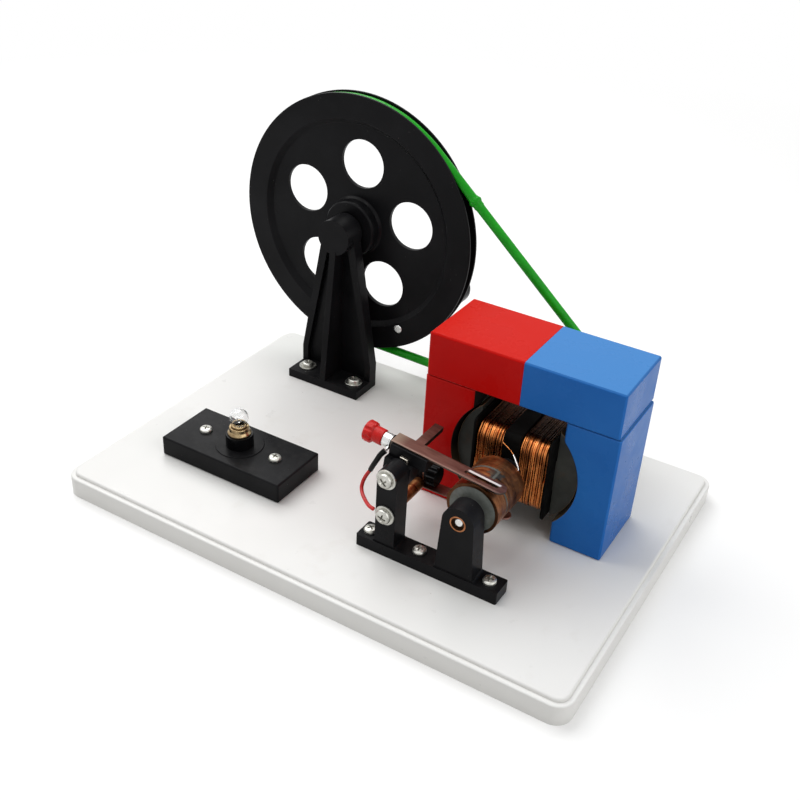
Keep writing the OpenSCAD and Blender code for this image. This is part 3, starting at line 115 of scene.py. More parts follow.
# Node trees
class Graph:
    """A small builder for one node tree. Lengths in its masks are given in mm."""

    def __init__(self, tree):
        self.tree = tree
        self.object_place = None

    def node(self, kind, **settings):
        n = self.tree.nodes.new("ShaderNode" + kind)
        for key, value in settings.items():
            setattr(n, key, value)
        return n

    def link(self, a, b):
        self.tree.links.new(a, b)

    def place(self):
        """The object's own coordinates, in metres."""
        if self.object_place is None:
            self.object_place = self.node("TexCoord").outputs["Object"]
        return self.object_place

    def scaled(self, scale):
        """Coordinates scaled along each axis, for streaks."""
        m = self.node("Mapping")
        self.link(self.place(), m.inputs["Vector"])
        m.inputs["Scale"].default_value = scale
        return m.outputs[0]

    def noise(self, scale, detail=3.0, rough=0.55, vector=None, distortion=0.0):
        n = self.node("TexNoise")
        self.link(vector or self.place(), n.inputs["Vector"])
        n.inputs["Scale"].default_value = scale
        n.inputs["Detail"].default_value = detail
        n.inputs["Roughness"].default_value = rough
        n.inputs["Distortion"].default_value = distortion
        return n.outputs["Fac"]

    def specks(self, scale, low, high):
        """Small round dots, set from their middles out to low and gone at high."""
        n = self.node("TexVoronoi", feature="F1")
        self.link(self.place(), n.inputs["Vector"])
        n.inputs["Scale"].default_value = scale
        return self.ramp(n.outputs["Distance"], low, high, 1.0, 0.0)

    def ramp(self, value, low, high, a=0.0, b=1.0):
        """The value's stretch low..high turned into a..b, held at both ends."""
        n = self.node("MapRange")
        self.link(value, n.inputs["Value"])
        for key, v in (("From Min", low), ("From Max", high), ("To Min", a), ("To Max", b)):
            n.inputs[key].default_value = v
        return n.outputs[0]

    def beyond(self, length, low, high):
        """0 up to low and 1 from high on, both in mm."""
        return self.ramp(length, low * MM, high * MM)

    def within(self, length, low, high):
        """1 up to low and 0 from high on, both in mm."""
        return self.ramp(length, low * MM, high * MM, 1.0, 0.0)

    def math(self, op, a, b=None):
        n = self.node("Math", operation=op)
        for socket, v in zip(n.inputs, (a, b)):
            if v is None:
                continue
            if isinstance(v, (int, float)):
                socket.default_value = v
            else:
                self.link(v, socket)
        return n.outputs[0]

    def times(self, a, b):
        return self.math("MULTIPLY", a, b)

    def off(self, value, middle):
        """How far a length is from a middle given in mm, either way."""
        return self.math("ABSOLUTE", self.math("SUBTRACT", value, middle * MM))

    def mix(self, fac, a, b):
        n = self.node("Mix", data_type="RGBA", blend_type="MIX")
        for socket, v in ((n.inputs[0], fac), (n.inputs[6], a), (n.inputs[7], b)):
            if isinstance(v, (int, float)):
                socket.default_value = v
            elif isinstance(v, tuple):
                socket.default_value = (*v, 1)
            else:
                self.link(v, socket)
        return n.outputs[2]

    def over(self, base, colour, mask, amount):
        """The base with a colour laid over it where the mask is set, up to the amount."""
        return self.mix(self.times(mask, amount), base, colour)

    def split(self, vector=None):
        n = self.node("SeparateXYZ")
        self.link(vector or self.place(), n.inputs[0])
        return n.outputs

    def up(self):
        """The surface normal's Z part, in object space."""
        return self.split(self.node("TexCoord").outputs["Normal"])[2]

    def radius(self, centre, plane="xz"):
        """Distance in metres from a line through the centre, given in mm, square to the plane."""
        s = self.split()
        parts = [s["xyz".index(c)] for c in plane]
        d = [self.math("SUBTRACT", p, c * MM) for p, c in zip(parts, centre)]
        return self.math("SQRT", self.math("ADD", self.times(d[0], d[0]), self.times(d[1], d[1])))

    def looking(self):
        """1 for rays that show things as they are: the camera's, mirrored ones and those through glass."""
        path = self.node("LightPath")
        seen = path.outputs["Is Camera Ray"]
        for ray in ("Is Glossy Ray", "Is Transmission Ray"):
            seen = self.math("MAXIMUM", seen, path.outputs[ray])
        return seen


class Paint(Graph):
    """A material with one Principled shader, its plain values given by socket name."""

    def __init__(self, name, **sockets):
        self.mat = bpy.data.materials.new(name)
        self.mat.use_nodes = True
        super().__init__(self.mat.node_tree)
        self.bsdf = self.tree.nodes["Principled BSDF"]
        for key, value in sockets.items():
            self.bsdf.inputs[key.replace("_", " ")].default_value = value

    def colour(self, socket):
        self.link(socket, self.bsdf.inputs["Base Color"])

    def rough(self, socket):
        self.link(socket, self.bsdf.inputs["Roughness"])

    def bump(self, height, strength, depth, under=None):
        """Unevenness of a depth in mm, on top of another one."""
        n = self.node("Bump")
        n.inputs["Strength"].default_value = strength
        n.inputs["Distance"].default_value = depth * MM
        self.link(height, n.inputs["Height"])
        if under:
            self.link(under, n.inputs["Normal"])
        self.link(n.outputs[0], self.bsdf.inputs["Normal"])
        return n.outputs[0]


# Camera and light
def make_camera():
    data = bpy.data.cameras.new("camera")
    data.sensor_width = SENSOR_MM
    data.lens = SENSOR_MM * FOCAL_PX / PHOTO_PX
    data.clip_start, data.clip_end = 0.01, 20
    cam = bpy.data.objects.new("camera", data)
    bpy.context.scene.collection.objects.link(cam)
    # the solved axes have x right, y down and z forward, and Blender's look along -z with y up
    turn = Vector(CAMERA_TURN)
    back = Matrix.Rotation(turn.length, 3, turn.normalized()).transposed()
    axes = back @ Matrix(((1, 0, 0), (0, -1, 0), (0, 0, -1)))
    cam.matrix_world = Matrix.Translation(-(back @ mm(CAMERA_SHIFT))) @ axes.to_4x4()
    bpy.context.scene.camera = cam


def area_light(name, place, size, power):
    data = bpy.data.lights.new(name, "AREA")
    data.shape = "RECTANGLE"
    data.size, data.size_y = size
    data.energy = power
    lamp = bpy.data.objects.new(name, data)
    bpy.context.scene.collection.objects.link(lamp)
    lamp.location = place
    lamp.rotation_euler = (Vector(LIGHT_TARGET) - Vector(place)).to_track_quat("-Z", "Y").to_euler()


def make_world():
    """A dim white sky for light, and a full white one for what is seen of it."""
    world = bpy.data.worlds.new("world")
    bpy.context.scene.world = world
    world.use_nodes = True
    g = Graph(world.node_tree)
    g.tree.nodes.clear()
    output = g.node("OutputWorld")
    mix = g.node("MixShader")
    g.link(g.looking(), mix.inputs[0])
    for socket, strength in ((mix.inputs[1], SKY_STRENGTH), (mix.inputs[2], 1.0)):
        sky = g.node("Background")
        sky.inputs["Color"].default_value = (1, 1, 1, 1)
        sky.inputs["Strength"].default_value = strength
        g.link(sky.outputs[0], socket)
    g.link(mix.outputs[0], output.inputs["Surface"])


make_camera()
for light in LIGHTS:
    area_light(*light)
make_world()
bpy.context.scene.view_settings.view_transform = "Standard"

# Materials, each made once under its slot's name
MATERIALS = {}


def material(name):
    """Registers a material maker under its slot's name."""
    def keep(make):
        MATERIALS[name] = make()
        return make
    return keep


@material("white_plastic")
def white_plastic():
    """The base plate, nearly white, with stains and specks of dirt, and painted shade that makes its sides
    slightly darker.
    """
    g = Paint("white_plastic", Roughness=0.34, Specular_IOR_Level=0.3)
    base = g.mix(g.ramp(g.noise(9, 4), 0.35, 0.7), (0.86, 0.856, 0.835), (0.89, 0.887, 0.87))
    base = g.over(base, (0.72, 0.69, 0.64), g.ramp(g.noise(38, 5, 0.65), 0.58, 0.78), 0.3)
    rare = g.ramp(g.noise(31, 1), 0.62, 0.66)
    base = g.over(base, (0.22, 0.2, 0.17), g.times(g.specks(120, 0.028, 0.045), rare), 0.6)
    # painted shade: faces that do not face up are made darker
    base = g.over(base, (0.78, 0.765, 0.73), g.ramp(g.up(), 0.2, 0.8, 1.0, 0.0), 0.5)
    g.colour(base)
    g.rough(g.ramp(g.noise(60, 4), 0.3, 0.7, 0.27, 0.42))
    g.bump(g.noise(14, 2), 0.25, 0.5, g.bump(g.noise(900, 2), 0.12, 0.06))
    return g.mat


def dark_plastic(name, colour, rough, dust=0.25, grain=0.2):
    """Moulded dark plastic with lint on its upper faces and a few pale bits."""
    g = Paint(name, Roughness=rough, Specular_IOR_Level=0.08)
    tone = tuple(c * 1.8 + 0.002 for c in colour)
    base = g.mix(g.ramp(g.noise(30, 4), 0.35, 0.75), colour, tone)
    lint = g.times(g.ramp(g.up(), 0.6, 0.95), g.ramp(g.noise(70, 5, 0.7), 0.45, 0.75))
    base = g.over(base, (0.09, 0.088, 0.085), lint, dust * 0.6)
    bits = g.times(g.specks(420, 0.05, 0.08), g.ramp(g.noise(90, 1), 0.6, 0.66))
    base = g.over(base, (0.3, 0.29, 0.27), bits, 0.5)
    g.colour(base)
    g.rough(g.ramp(g.noise(45, 4), 0.3, 0.7, rough - 0.07, rough + 0.1))
    g.bump(g.noise(60, 2), 0.15, 0.4, g.bump(g.noise(1500, 2), grain, 0.06))
    return g.mat


@material("black_plastic")
def black_plastic():
    return dark_plastic("black_plastic", (0.0045, 0.0045, 0.0052), 0.33)


@material("gloss_black")
def gloss_black():
    return dark_plastic("gloss_black", (0.0032, 0.0032, 0.0038), 0.19, dust=0.08, grain=0.06)


@material("sleeve_black")
def sleeve_black():
    return dark_plastic("sleeve_black", (0.007, 0.007, 0.007), 0.34, dust=0.0, grain=0.25)


@material("dead_black")
def dead_black():
    """Varnish-soaked board of the hub and the slot linings."""
    g = Paint("dead_black", Roughness=0.55, Specular_IOR_Level=0.03)
    g.colour(g.mix(g.ramp(g.noise(90, 4), 0.35, 0.7), (0.0022, 0.0022, 0.0022), (0.0065, 0.006, 0.0055)))
    g.rough(g.ramp(g.noise(120, 4), 0.3, 0.7, 0.42, 0.66))
    g.bump(g.noise(420, 4), 0.3, 0.12)
    return g.mat


@material("grey_fibre")
def grey_fibre():
    """Fibre board of the barrel's front, oily in places and darker at its rim."""
    rim_r = 14.1
    g = Paint("grey_fibre", Roughness=0.42)
    base = g.mix(g.ramp(g.noise(160, 5, 0.7), 0.3, 0.75), (0.115, 0.125, 0.115), (0.22, 0.235, 0.215))
    base = g.over(base, (0.075, 0.06, 0.025), g.ramp(g.noise(70, 4), 0.52, 0.68), 0.8)
    base = g.over(base, (0.06, 0.055, 0.04), g.beyond(g.radius(AXIS), rim_r - 0.3, rim_r + 0.3), 0.35)
    g.colour(base)
    g.bump(g.noise(700, 3), 0.3, 0.12)
    return g.mat


def metal(name, colour, rough, scratch, tarnish, amount, stretch=(1, 1, 1), shaft_r=0.0):
    """Streaked metal with spots of tarnish, darkened inside a radius round the shaft by old oil and painted
    shade in the recess.
    """
    g = Paint(name, Metallic=1.0, Roughness=rough)
    streaks = g.noise(420, 5, 0.65, g.scaled(stretch))
    base = g.mix(g.ramp(streaks, 0.35, 0.7), tuple(c * 0.82 for c in colour), colour)
    spots = g.ramp(g.noise(240, 5, 0.7), 0.46, 0.68)
    base = g.over(base, tarnish, spots, amount)
    if shaft_r:
        # old oil and painted shade in the recess round the shaft
        oil_and_recess_shade = g.within(g.radius(AXIS), shaft_r - 0.1, shaft_r + 0.1)
        base = g.over(base, (0.012, 0.008, 0.005), oil_and_recess_shade, 0.95)
    g.colour(base)
    g.rough(g.math("ADD", g.times(spots, 0.22), g.ramp(streaks, 0.3, 0.7, rough - 0.06, rough + 0.08)))
    g.bump(streaks, scratch, 0.05)
    return g.mat


@material("bright_steel")
def bright_steel():
    return metal("bright_steel", (0.78, 0.785, 0.78), 0.2, 0.15, (0.42, 0.38, 0.3), 0.3)


@material("brushed_steel")
def brushed_steel():
    """The lower brush and its like, brown with age and brushed along x."""
    return metal("brushed_steel", (0.36, 0.2, 0.165), 0.36, 0.35, (0.2, 0.1, 0.08), 0.45, (0.06, 1.6, 1.6))


@material("nickel")
def nickel():
    return metal("nickel", (0.6, 0.56, 0.48), 0.3, 0.2, (0.3, 0.26, 0.2), 0.35)


@material("zinc")
def zinc():
    """Cream-coloured screw heads."""
    return metal("zinc", (0.62, 0.615, 0.57), 0.32, 0.2, (0.2, 0.19, 0.15), 0.5)


@material("bronze")
def bronze():
    return metal("bronze", (0.48, 0.2, 0.09), 0.42, 0.3, (0.16, 0.07, 0.03), 0.5, shaft_r=3.9)


@material("brass")
def brass():
    return metal("brass", (0.44, 0.33, 0.18), 0.24, 0.2, (0.1, 0.05, 0.025), 0.75)


@material("strip")
def strip():
    """The upper brush: a brown-grey strip, lighter at its left end, with a painted highlight on its near edge,
    painted shade on its sides and a long painted white highlight on its top.
    """
    end_x, near_y = 31, -51.35
    highlight_y, highlight_x = (-46.9, -45.1), (70.5, 90.8)
    g = Paint("strip", Metallic=1.0, Roughness=0.36)
    x, y = g.split()[:2]
    streaks = g.noise(420, 5, 0.65, g.scaled((0.06, 1.6, 1.6)))
    base = g.mix(g.ramp(streaks, 0.35, 0.7), (0.115, 0.056, 0.044), (0.185, 0.092, 0.074))
    base = g.over(base, (0.11, 0.05, 0.042), g.ramp(g.noise(90, 5, 0.7), 0.5, 0.7), 0.4)
    base = g.over(base, (0.27, 0.2, 0.15), g.within(x, end_x - 3, end_x + 3), 0.7)
    top = g.ramp(g.up(), 0.5, 0.9)
    # painted highlight along the near edge of the top face
    near = g.times(g.within(y, near_y - 0.25, near_y + 0.25), top)
    base = g.over(base, (0.32, 0.22, 0.18), near, 0.7)
    # painted shade: the faces that do not face up are darker
    base = g.over(base, (0.045, 0.042, 0.036), g.ramp(g.up(), 0.3, 0.7, 1.0, 0.0), 0.8)
    # a painted white highlight on the strip's top
    across = g.times(g.beyond(y, highlight_y[0], highlight_y[0] + 0.2), g.within(y, highlight_y[1] - 0.2, highlight_y[1]))
    along = g.times(g.beyond(x, highlight_x[0], highlight_x[0] + 1.0), g.within(x, highlight_x[1] - 0.8, highlight_x[1]))
    highlight_band = g.times(g.times(across, along), top)
    g.colour(g.mix(highlight_band, base, (0.9, 0.89, 0.87)))
    # a full metal would only mirror the magnet's colours there
    g.link(g.math("SUBTRACT", 1.0, g.times(highlight_band, 0.8)), g.bsdf.inputs["Metallic"])
    g.rough(g.math("SUBTRACT", g.ramp(streaks, 0.3, 0.7, 0.3, 0.46), g.times(highlight_band, 0.16)))
    g.bump(streaks, 0.3, 0.05)
    return g.mat


@material("dark_steel")
def dark_steel():
    """The core's stack: dark sheets with rust spots, and brown varnish over their edges at the rim."""
    rim_r, sheet = 37.6, 1.0
    g = Paint("dark_steel", Roughness=0.42, Specular_IOR_Level=0.2, Coat_Weight=0.05, Coat_Roughness=0.25)
    base = g.mix(g.ramp(g.noise(55, 5, 0.65), 0.3, 0.7), (0.03, 0.032, 0.028), (0.062, 0.064, 0.056))
    base = g.over(base, (0.085, 0.04, 0.02), g.ramp(g.noise(45, 5, 0.7), 0.58, 0.72), 0.5)
    lines = g.math("SINE", g.times(g.split()[1], 2 * math.pi / (sheet * MM)))
    varnish = g.mix(g.ramp(lines, -1, 1), (0.09, 0.058, 0.032), (0.2, 0.13, 0.07))
    g.colour(g.mix(g.beyond(g.radius(AXIS), rim_r - 0.2, rim_r + 0.2), base, varnish))
    g.rough(g.ramp(g.noise(80, 4), 0.3, 0.7, 0.32, 0.52))
    g.bump(lines, 0.12, 0.06, g.bump(g.noise(260, 4), 0.2, 0.1))
    return g.mat


@material("copper")
def copper():
    """Bare copper of the rings and the pillar, brown where the brushes do not polish it."""
    front_y, solder = -53.2, (83.2, -37.5, 72.2)
    g = Paint("copper", Metallic=1.0, Roughness=0.34)
    streak = g.noise(60, 6, 0.7, g.scaled((1, 7, 1)), 0.4)
    base = g.mix(g.ramp(streak, 0.35, 0.65), (0.27, 0.09, 0.03), (0.56, 0.24, 0.095))
    brown = g.ramp(g.noise(150, 6, 0.75), 0.48, 0.68)
    base = g.over(base, (0.11, 0.042, 0.016), brown, 0.75)
    base = g.over(base, (0.05, 0.02, 0.01), g.within(g.split()[1], front_y - 0.1, front_y + 0.1), 0.9)
    # grey flux left round the soldered wire end
    spot = g.node("VectorMath", operation="DISTANCE")
    g.link(g.place(), spot.inputs[0])
    spot.inputs[1].default_value = mm(solder)
    wander = g.ramp(g.noise(260, 3), 0.25, 0.75, -2.2 * MM, 2.2 * MM)
    flux = g.within(g.math("ADD", spot.outputs["Value"], wander), 3.8, 4.6)
    g.colour(g.over(base, (0.17, 0.18, 0.13), flux, 0.8))
    g.rough(g.math("ADD", g.times(brown, 0.25), g.ramp(streak, 0.3, 0.7, 0.26, 0.4)))
    g.bump(g.noise(500, 4, 0.6, g.scaled((1, 5, 1))), 0.25, 0.08)
    return g.mat


@material("wire")
def wire_enamel():
    """Enamelled copper wire of the windings."""
    g = Paint("wire", Metallic=1.0, Roughness=0.27, Coat_Weight=0.12, Coat_Roughness=0.12,
              Coat_Tint=(1.0, 0.78, 0.55, 1))
    base = g.mix(g.ramp(g.noise(120, 4), 0.3, 0.7), (0.6, 0.18, 0.04), (0.95, 0.37, 0.11))
    base = g.over(base, (0.24, 0.065, 0.018), g.ramp(g.noise(40, 3), 0.5, 0.75), 0.55)
    # painted shade and painted highlights on random strands, as if they lay at different depths
    strand = g.noise(1.0, 2, 0.5, g.scaled((950, 45, 45)))
    base = g.over(base, (0.06, 0.017, 0.006), g.ramp(strand, 0.34, 0.5, 1.0, 0.0), 0.85)
    base = g.over(base, (0.95, 0.5, 0.22), g.ramp(strand, 0.58, 0.72), 0.6)
    # under the front bends the strands lie in shade
    y, z = g.split()[1:]
    rise = g.math("SUBTRACT", z, AXIS[1] * MM)
    shade = g.times(g.beyond(rise, 3, 11), g.within(rise, 15.5, 18.5))
    shade = g.times(shade, g.ramp(g.noise(1.0, 2, 0.5, g.scaled((420, 60, 110))), 0.3, 0.6))
    base = g.over(base, (0.13, 0.036, 0.01), shade, 0.75)
    # painted shade on the tops under the bar, nearly black
    top = g.times(g.beyond(g.off(z, AXIS[1]), 19.5, 21.2), g.beyond(y, -5.5, -1.5))
    g.colour(g.over(base, (0.022, 0.007, 0.003), top, 0.9))
    g.rough(g.ramp(g.noise(300, 3), 0.3, 0.7, 0.2, 0.36))
    g.bump(g.noise(700, 3), 0.15, 0.06)
    return g.mat


def magnet_paint(name, colour, deep, top):
    """Painted magnets, lighter on top as painted light, with a bare bore and gap darkened by painted shade,
    and a painted shadow line at the joint under the bar.
    """
    g = Paint(name, Roughness=0.3, Specular_IOR_Level=0.07)
    base = g.mix(g.ramp(g.noise(22, 4), 0.3, 0.75), colour, deep)
    # painted light: the top faces get a lighter colour
    base = g.mix(g.ramp(g.up(), 0.6, 0.95), base, top)
    scuff = g.ramp(g.noise(420, 4, 0.7, g.scaled((0.25, 0.25, 1.4))), 0.66, 0.74)
    base = g.over(base, tuple(min(1, c * 1.5 + 0.05) for c in colour), scuff, 0.13)
    x, height = g.split()[0], g.split()[2]
    # the poles' upper edges catch the light
    edge = g.times(g.beyond(height, BAR_BOTTOM - 1.5, BAR_BOTTOM - 1.3),
                   g.within(height, BAR_BOTTOM - 0.8, BAR_BOTTOM - 0.6))
    base = g.over(base, tuple(min(1, c * 1.4 + 0.03) for c in colour), edge, 0.4)
    # a painted shadow line where the bar sits on the poles
    joint = g.times(g.within(g.off(height, BAR_BOTTOM), 0.55, 0.8),
                    g.ramp(g.math("ABSOLUTE", g.up()), 0.3, 0.9, 1.0, 0.0))
    # the bore and the gap are bare steel, darkened to nearly black by painted shade, and browner lower down as
    # painted light where the bore's lower face is lit
    bore = g.within(g.radius(AXIS), BORE_R - 0.1, BORE_R + 0.1)
    gap = g.within(g.off(x, AXIS[0]), GAP_HALF - 0.02, GAP_HALF + 0.02)
    bare = g.times(g.math("MAXIMUM", bore, gap), g.within(height, BAR_BOTTOM - 0.5, BAR_BOTTOM - 0.1))
    steel = g.mix(g.ramp(g.noise(60, 4), 0.3, 0.7), (0.006, 0.006, 0.006), (0.024, 0.021, 0.018))
    lit_lower_bore = g.mix(g.ramp(g.noise(110, 4), 0.3, 0.7), (0.075, 0.052, 0.026), (0.15, 0.11, 0.06))
    steel = g.mix(g.within(height, 36, 56), steel, lit_lower_bore)
    g.colour(g.mix(g.math("MAXIMUM", bare, joint), base, g.mix(joint, steel, (0.004, 0.004, 0.004))))
    g.rough(g.math("ADD", g.ramp(g.noise(60, 4), 0.3, 0.7, 0.22, 0.36), g.times(bare, 0.25)))
    g.bump(g.noise(170, 3), 0.035, 0.25, g.bump(g.noise(1300, 2), 0.03, 0.05))
    return g.mat


@material("magnet_red")
def magnet_red():
    return magnet_paint("magnet_red", (0.58, 0.004, 0.003), (0.5, 0.003, 0.002), (0.66, 0.01, 0.004))


@material("magnet_blue")
def magnet_blue():
    return magnet_paint("magnet_blue", (0.022, 0.155, 0.5), (0.015, 0.125, 0.44), (0.068, 0.255, 0.62))


@material("belt_green")
def belt_green():
    g = Paint("belt_green", Roughness=0.3, Specular_IOR_Level=0.2, Subsurface_Weight=0.3,
              Subsurface_Radius=(0.2, 1.0, 0.2), Subsurface_Scale=1.5 * MM)
    g.colour(g.mix(g.ramp(g.noise(90, 4), 0.3, 0.7), (0.005, 0.3, 0.006), (0.01, 0.4, 0.011)))
    g.rough(g.ramp(g.noise(160, 3), 0.3, 0.7, 0.24, 0.4))
    g.bump(g.noise(400, 3), 0.1, 0.1)
    return g.mat


def bright_plastic(name, colour, rough, sheen):
    g = Paint(name, Roughness=rough, Specular_IOR_Level=sheen, Subsurface_Weight=0.12,
              Subsurface_Radius=(1.0, 0.2, 0.15), Subsurface_Scale=1.0 * MM)
    g.colour(g.mix(g.ramp(g.noise(200, 3), 0.3, 0.7), tuple(c * 0.85 for c in colour), colour))
    g.rough(g.ramp(g.noise(240, 3), 0.3, 0.7, rough - 0.05, rough + 0.08))
    g.bump(g.noise(600, 3), 0.1, 0.08)
    return g.mat


@material("cap_red")
def cap_red():
    return bright_plastic("cap_red", (0.64, 0.016, 0.014), 0.26, 0.2)


@material("lead_red")
def lead_red():
    return bright_plastic("lead_red", (0.62, 0.012, 0.012), 0.3, 0.4)


@material("clear_glass")
def clear_glass():
    g = Paint("clear_glass", Roughness=0.02, Transmission_Weight=1.0, IOR=1.45)
    g.colour(g.mix(g.ramp(g.noise(80, 2), 0.3, 0.7), (0.96, 0.97, 0.97), (1, 1, 1)))
    return g.mat


@material("floor")
def floor_paint():
    """A pale backdrop that takes the object's shadow, glows a little to the camera and fades to white."""
    fade_from, fade_to = 420, 1100
    g = Paint("floor", Roughness=0.6, Specular_IOR_Level=0.2)
    g.colour(g.mix(g.ramp(g.noise(3, 2), 0.3, 0.7), (0.84, 0.84, 0.835), (0.86, 0.86, 0.855)))
    glow = g.node("Emission")
    glow.inputs["Strength"].default_value = 0.2
    near = g.node("AddShader")
    g.link(g.bsdf.outputs[0], near.inputs[0])
    g.link(glow.outputs[0], near.inputs[1])
    fade = g.node("MixShader")
    g.link(g.beyond(g.radius((0, 0), "xy"), fade_from, fade_to), fade.inputs[0])
    g.link(near.outputs[0], fade.inputs[1])
    g.link(g.node("Emission").outputs[0], fade.inputs[2])
    shown = g.node("MixShader")
    g.link(g.looking(), shown.inputs[0])
    g.link(g.bsdf.outputs[0], shown.inputs[1])
    g.link(fade.outputs[0], shown.inputs[2])
    g.link(shown.outputs[0], g.tree.nodes["Material Output"].inputs["Surface"])
    return g.mat


# Meshes
def paint(obj, name):
    obj.data.materials.clear()
    obj.data.materials.append(MATERIALS[name])


def new_object(name, mesh, body, slot, replaces=(), finish=None):
    """A finished piece: painted, riding on its body and standing for its CAD nodes."""
    obj = bpy.data.objects.new(name, mesh)
    bpy.context.scene.collection.objects.link(obj)
    paint(obj, finish or slot)
    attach(obj, body)
    if replaces:
        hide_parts(*replaces)
    return obj


def smooth(mesh, angle=35):
    """Shades a mesh smooth, with edges over the angle kept sharp."""
    for p in mesh.polygons:
        p.use_smooth = True
    bm = bmesh.new()
    bm.from_mesh(mesh)
    limit = math.radians(angle)
    for e in bm.edges:
        if len(e.link_faces) == 2 and e.calc_face_angle(0) > limit:
            e.smooth = False
    bm.to_mesh(mesh)
    bm.free()


def mesh_from(points, faces, name):
    mesh = bpy.data.meshes.new(name)
    mesh.from_pydata([tuple(p) for p in points], [], faces)
    mesh.update()
    return mesh


def closed(points, faces, name):
    """A mesh whose faces all point outward."""
    mesh = mesh_from(points, faces, name)
    bm = bmesh.new()
    bm.from_mesh(mesh)
    bmesh.ops.recalc_face_normals(bm, faces=bm.faces)
    bm.to_mesh(mesh)
    bm.free()
    return mesh


def gather(parts):
    """Joins several (points, faces) lists into one."""
    points, faces = [], []
    for p, f in parts:
        shift = len(points)
        points += list(p)
        faces += [tuple(i + shift for i in face) for face in f]
    return points, faces


def tube_data(path, radius, sides):
    """Points and faces of a round tube with closed ends along a list of Vectors."""
    n = len(path)
    points, faces = [], []
    last = (path[1] - path[0]).normalized().orthogonal()
    for i, p in enumerate(path):
        heading = (path[min(i + 1, n - 1)] - path[max(i - 1, 0)]).normalized()
        last = (last - heading * last.dot(heading)).normalized()
        side = heading.cross(last)
        r = radius(i / (n - 1)) if callable(radius) else radius
        for k in range(sides):
            a = 2 * math.pi * k / sides
            points.append(p + r * (math.cos(a) * last + math.sin(a) * side))
    for a in range(0, (n - 1) * sides, sides):
        b = a + sides
        faces += [(a + k, a + (k + 1) % sides, b + (k + 1) % sides, b + k) for k in range(sides)]
    faces.append(tuple(range(sides - 1, -1, -1)))
    faces.append(tuple(range((n - 1) * sides, n * sides)))
    return points, faces


def smooth_path(points, per_span=8):
    """A Catmull-Rom line through points given in mm, as Vectors in metres."""
    p = [Vector(q) for q in points]
    p = [2 * p[0] - p[1]] + p + [2 * p[-1] - p[-2]]
    line = []
    for i in range(1, len(p) - 2):
        a, b, c, d = p[i - 1:i + 3]
        for k in range(per_span):
            t = k / per_span
            line.append(0.5 * ((2 * b) + (c - a) * t + (2 * a - 5 * b + 4 * c - d) * t * t
                               + (3 * b - a - 3 * c + d) * t ** 3))
    line.append(p[-2])
    return [q * MM for q in line]


def lathe(profile, steps):
    """A turned piece: its profile is a list of (radius, height) in mm about +Z."""
    points, faces, rows = [], [], []
    for r, h in profile:
        count = steps if r > 0 else 1
        rows.append([len(points) + k for k in range(count)])
        for k in range(count):
            a = 2 * math.pi * k / steps
            points.append(mm((r * math.cos(a), r * math.sin(a), h)))
    for a, b in zip(rows, rows[1:]):
        for k in range(steps):
            j = (k + 1) % steps
            if len(a) == 1:
                faces.append((a[0], b[j], b[k]))
            elif len(b) == 1:
                faces.append((a[k], a[j], b[0]))
            else:
                faces.append((a[k], a[j], b[j], b[k]))
    return points, faces


def towards(axis, place):
    """A matrix that turns +Z onto an axis and moves it to a place given in mm."""
    return Matrix.Translation(mm(place)) @ Vector(axis).to_track_quat("Z", "Y").to_matrix().to_4x4()


def cut(mesh, tool):
    """The mesh minus the tool, both closed."""
    obj = bpy.data.objects.new("cut", mesh)
    knife = bpy.data.objects.new("knife", tool)
    for o in (obj, knife):
        bpy.context.scene.collection.objects.link(o)
    change = obj.modifiers.new("cut", "BOOLEAN")
    change.operation = "DIFFERENCE"
    change.solver = "EXACT"
    change.object = knife
    bpy.context.view_layer.update()
    made = bpy.data.meshes.new_from_object(obj.evaluated_get(bpy.context.evaluated_depsgraph_get()))
    for o in (obj, knife):
        bpy.data.objects.remove(o)
    return made


# Lead from the red head to the lower brush screw
def make_lead():
    line = smooth_path(LEAD)
    lead = new_object("lead_tube", mesh_from(*tube_data(line, LEAD_R * MM, 16), "lead_tube"), "base",
                      "lead_red", ["red_lead"])
    smooth(lead.data)
    shell = tube_data(smooth_path(SLEEVE), lambda t: (SLEEVE_R - SLEEVE_TAPER * t) * MM, 16)
    cover = new_object("lead_cover", mesh_from(*shell, "lead_cover"), "base", "sleeve_black",
                       ["lead_sleeve"])
    smooth(cover.data)


# Windings
def loop_point(t, inset):
    """A point (y, z) of a winding's loop at t turns, in mm about the axis, and its outward direction."""
    front, back = COIL_FRONT + inset, COIL_BACK - inset
    rise, bend = COIL_RISE - inset, max(1.5, COIL_BEND - inset)
    flat_y, flat_z, curve = back - front - 2 * bend, 2 * (rise - bend), math.pi / 2 * bend
    s = (t % 1.0) * (2 * (flat_y + flat_z) + 4 * curve)
    # from the middle of the front side: up, back along the top, down and forward along the bottom
    place, out = Vector((front, 0)), Vector((-1, 0))
    for flat in (flat_z / 2, flat_y, flat_z, flat_y):
        heading = Vector((out.y, -out.x))
        if s <= flat:
            return place + s * heading, out
        s -= flat
        centre = place + flat * heading - bend * out
        if s <= curve:
            angle = s / bend
            out = math.cos(angle) * out + math.sin(angle) * heading
            return centre + bend * out, out
        s -= curve
        out = heading
        place = centre + bend * out
    return place + s * Vector((out.y, -out.x)), out


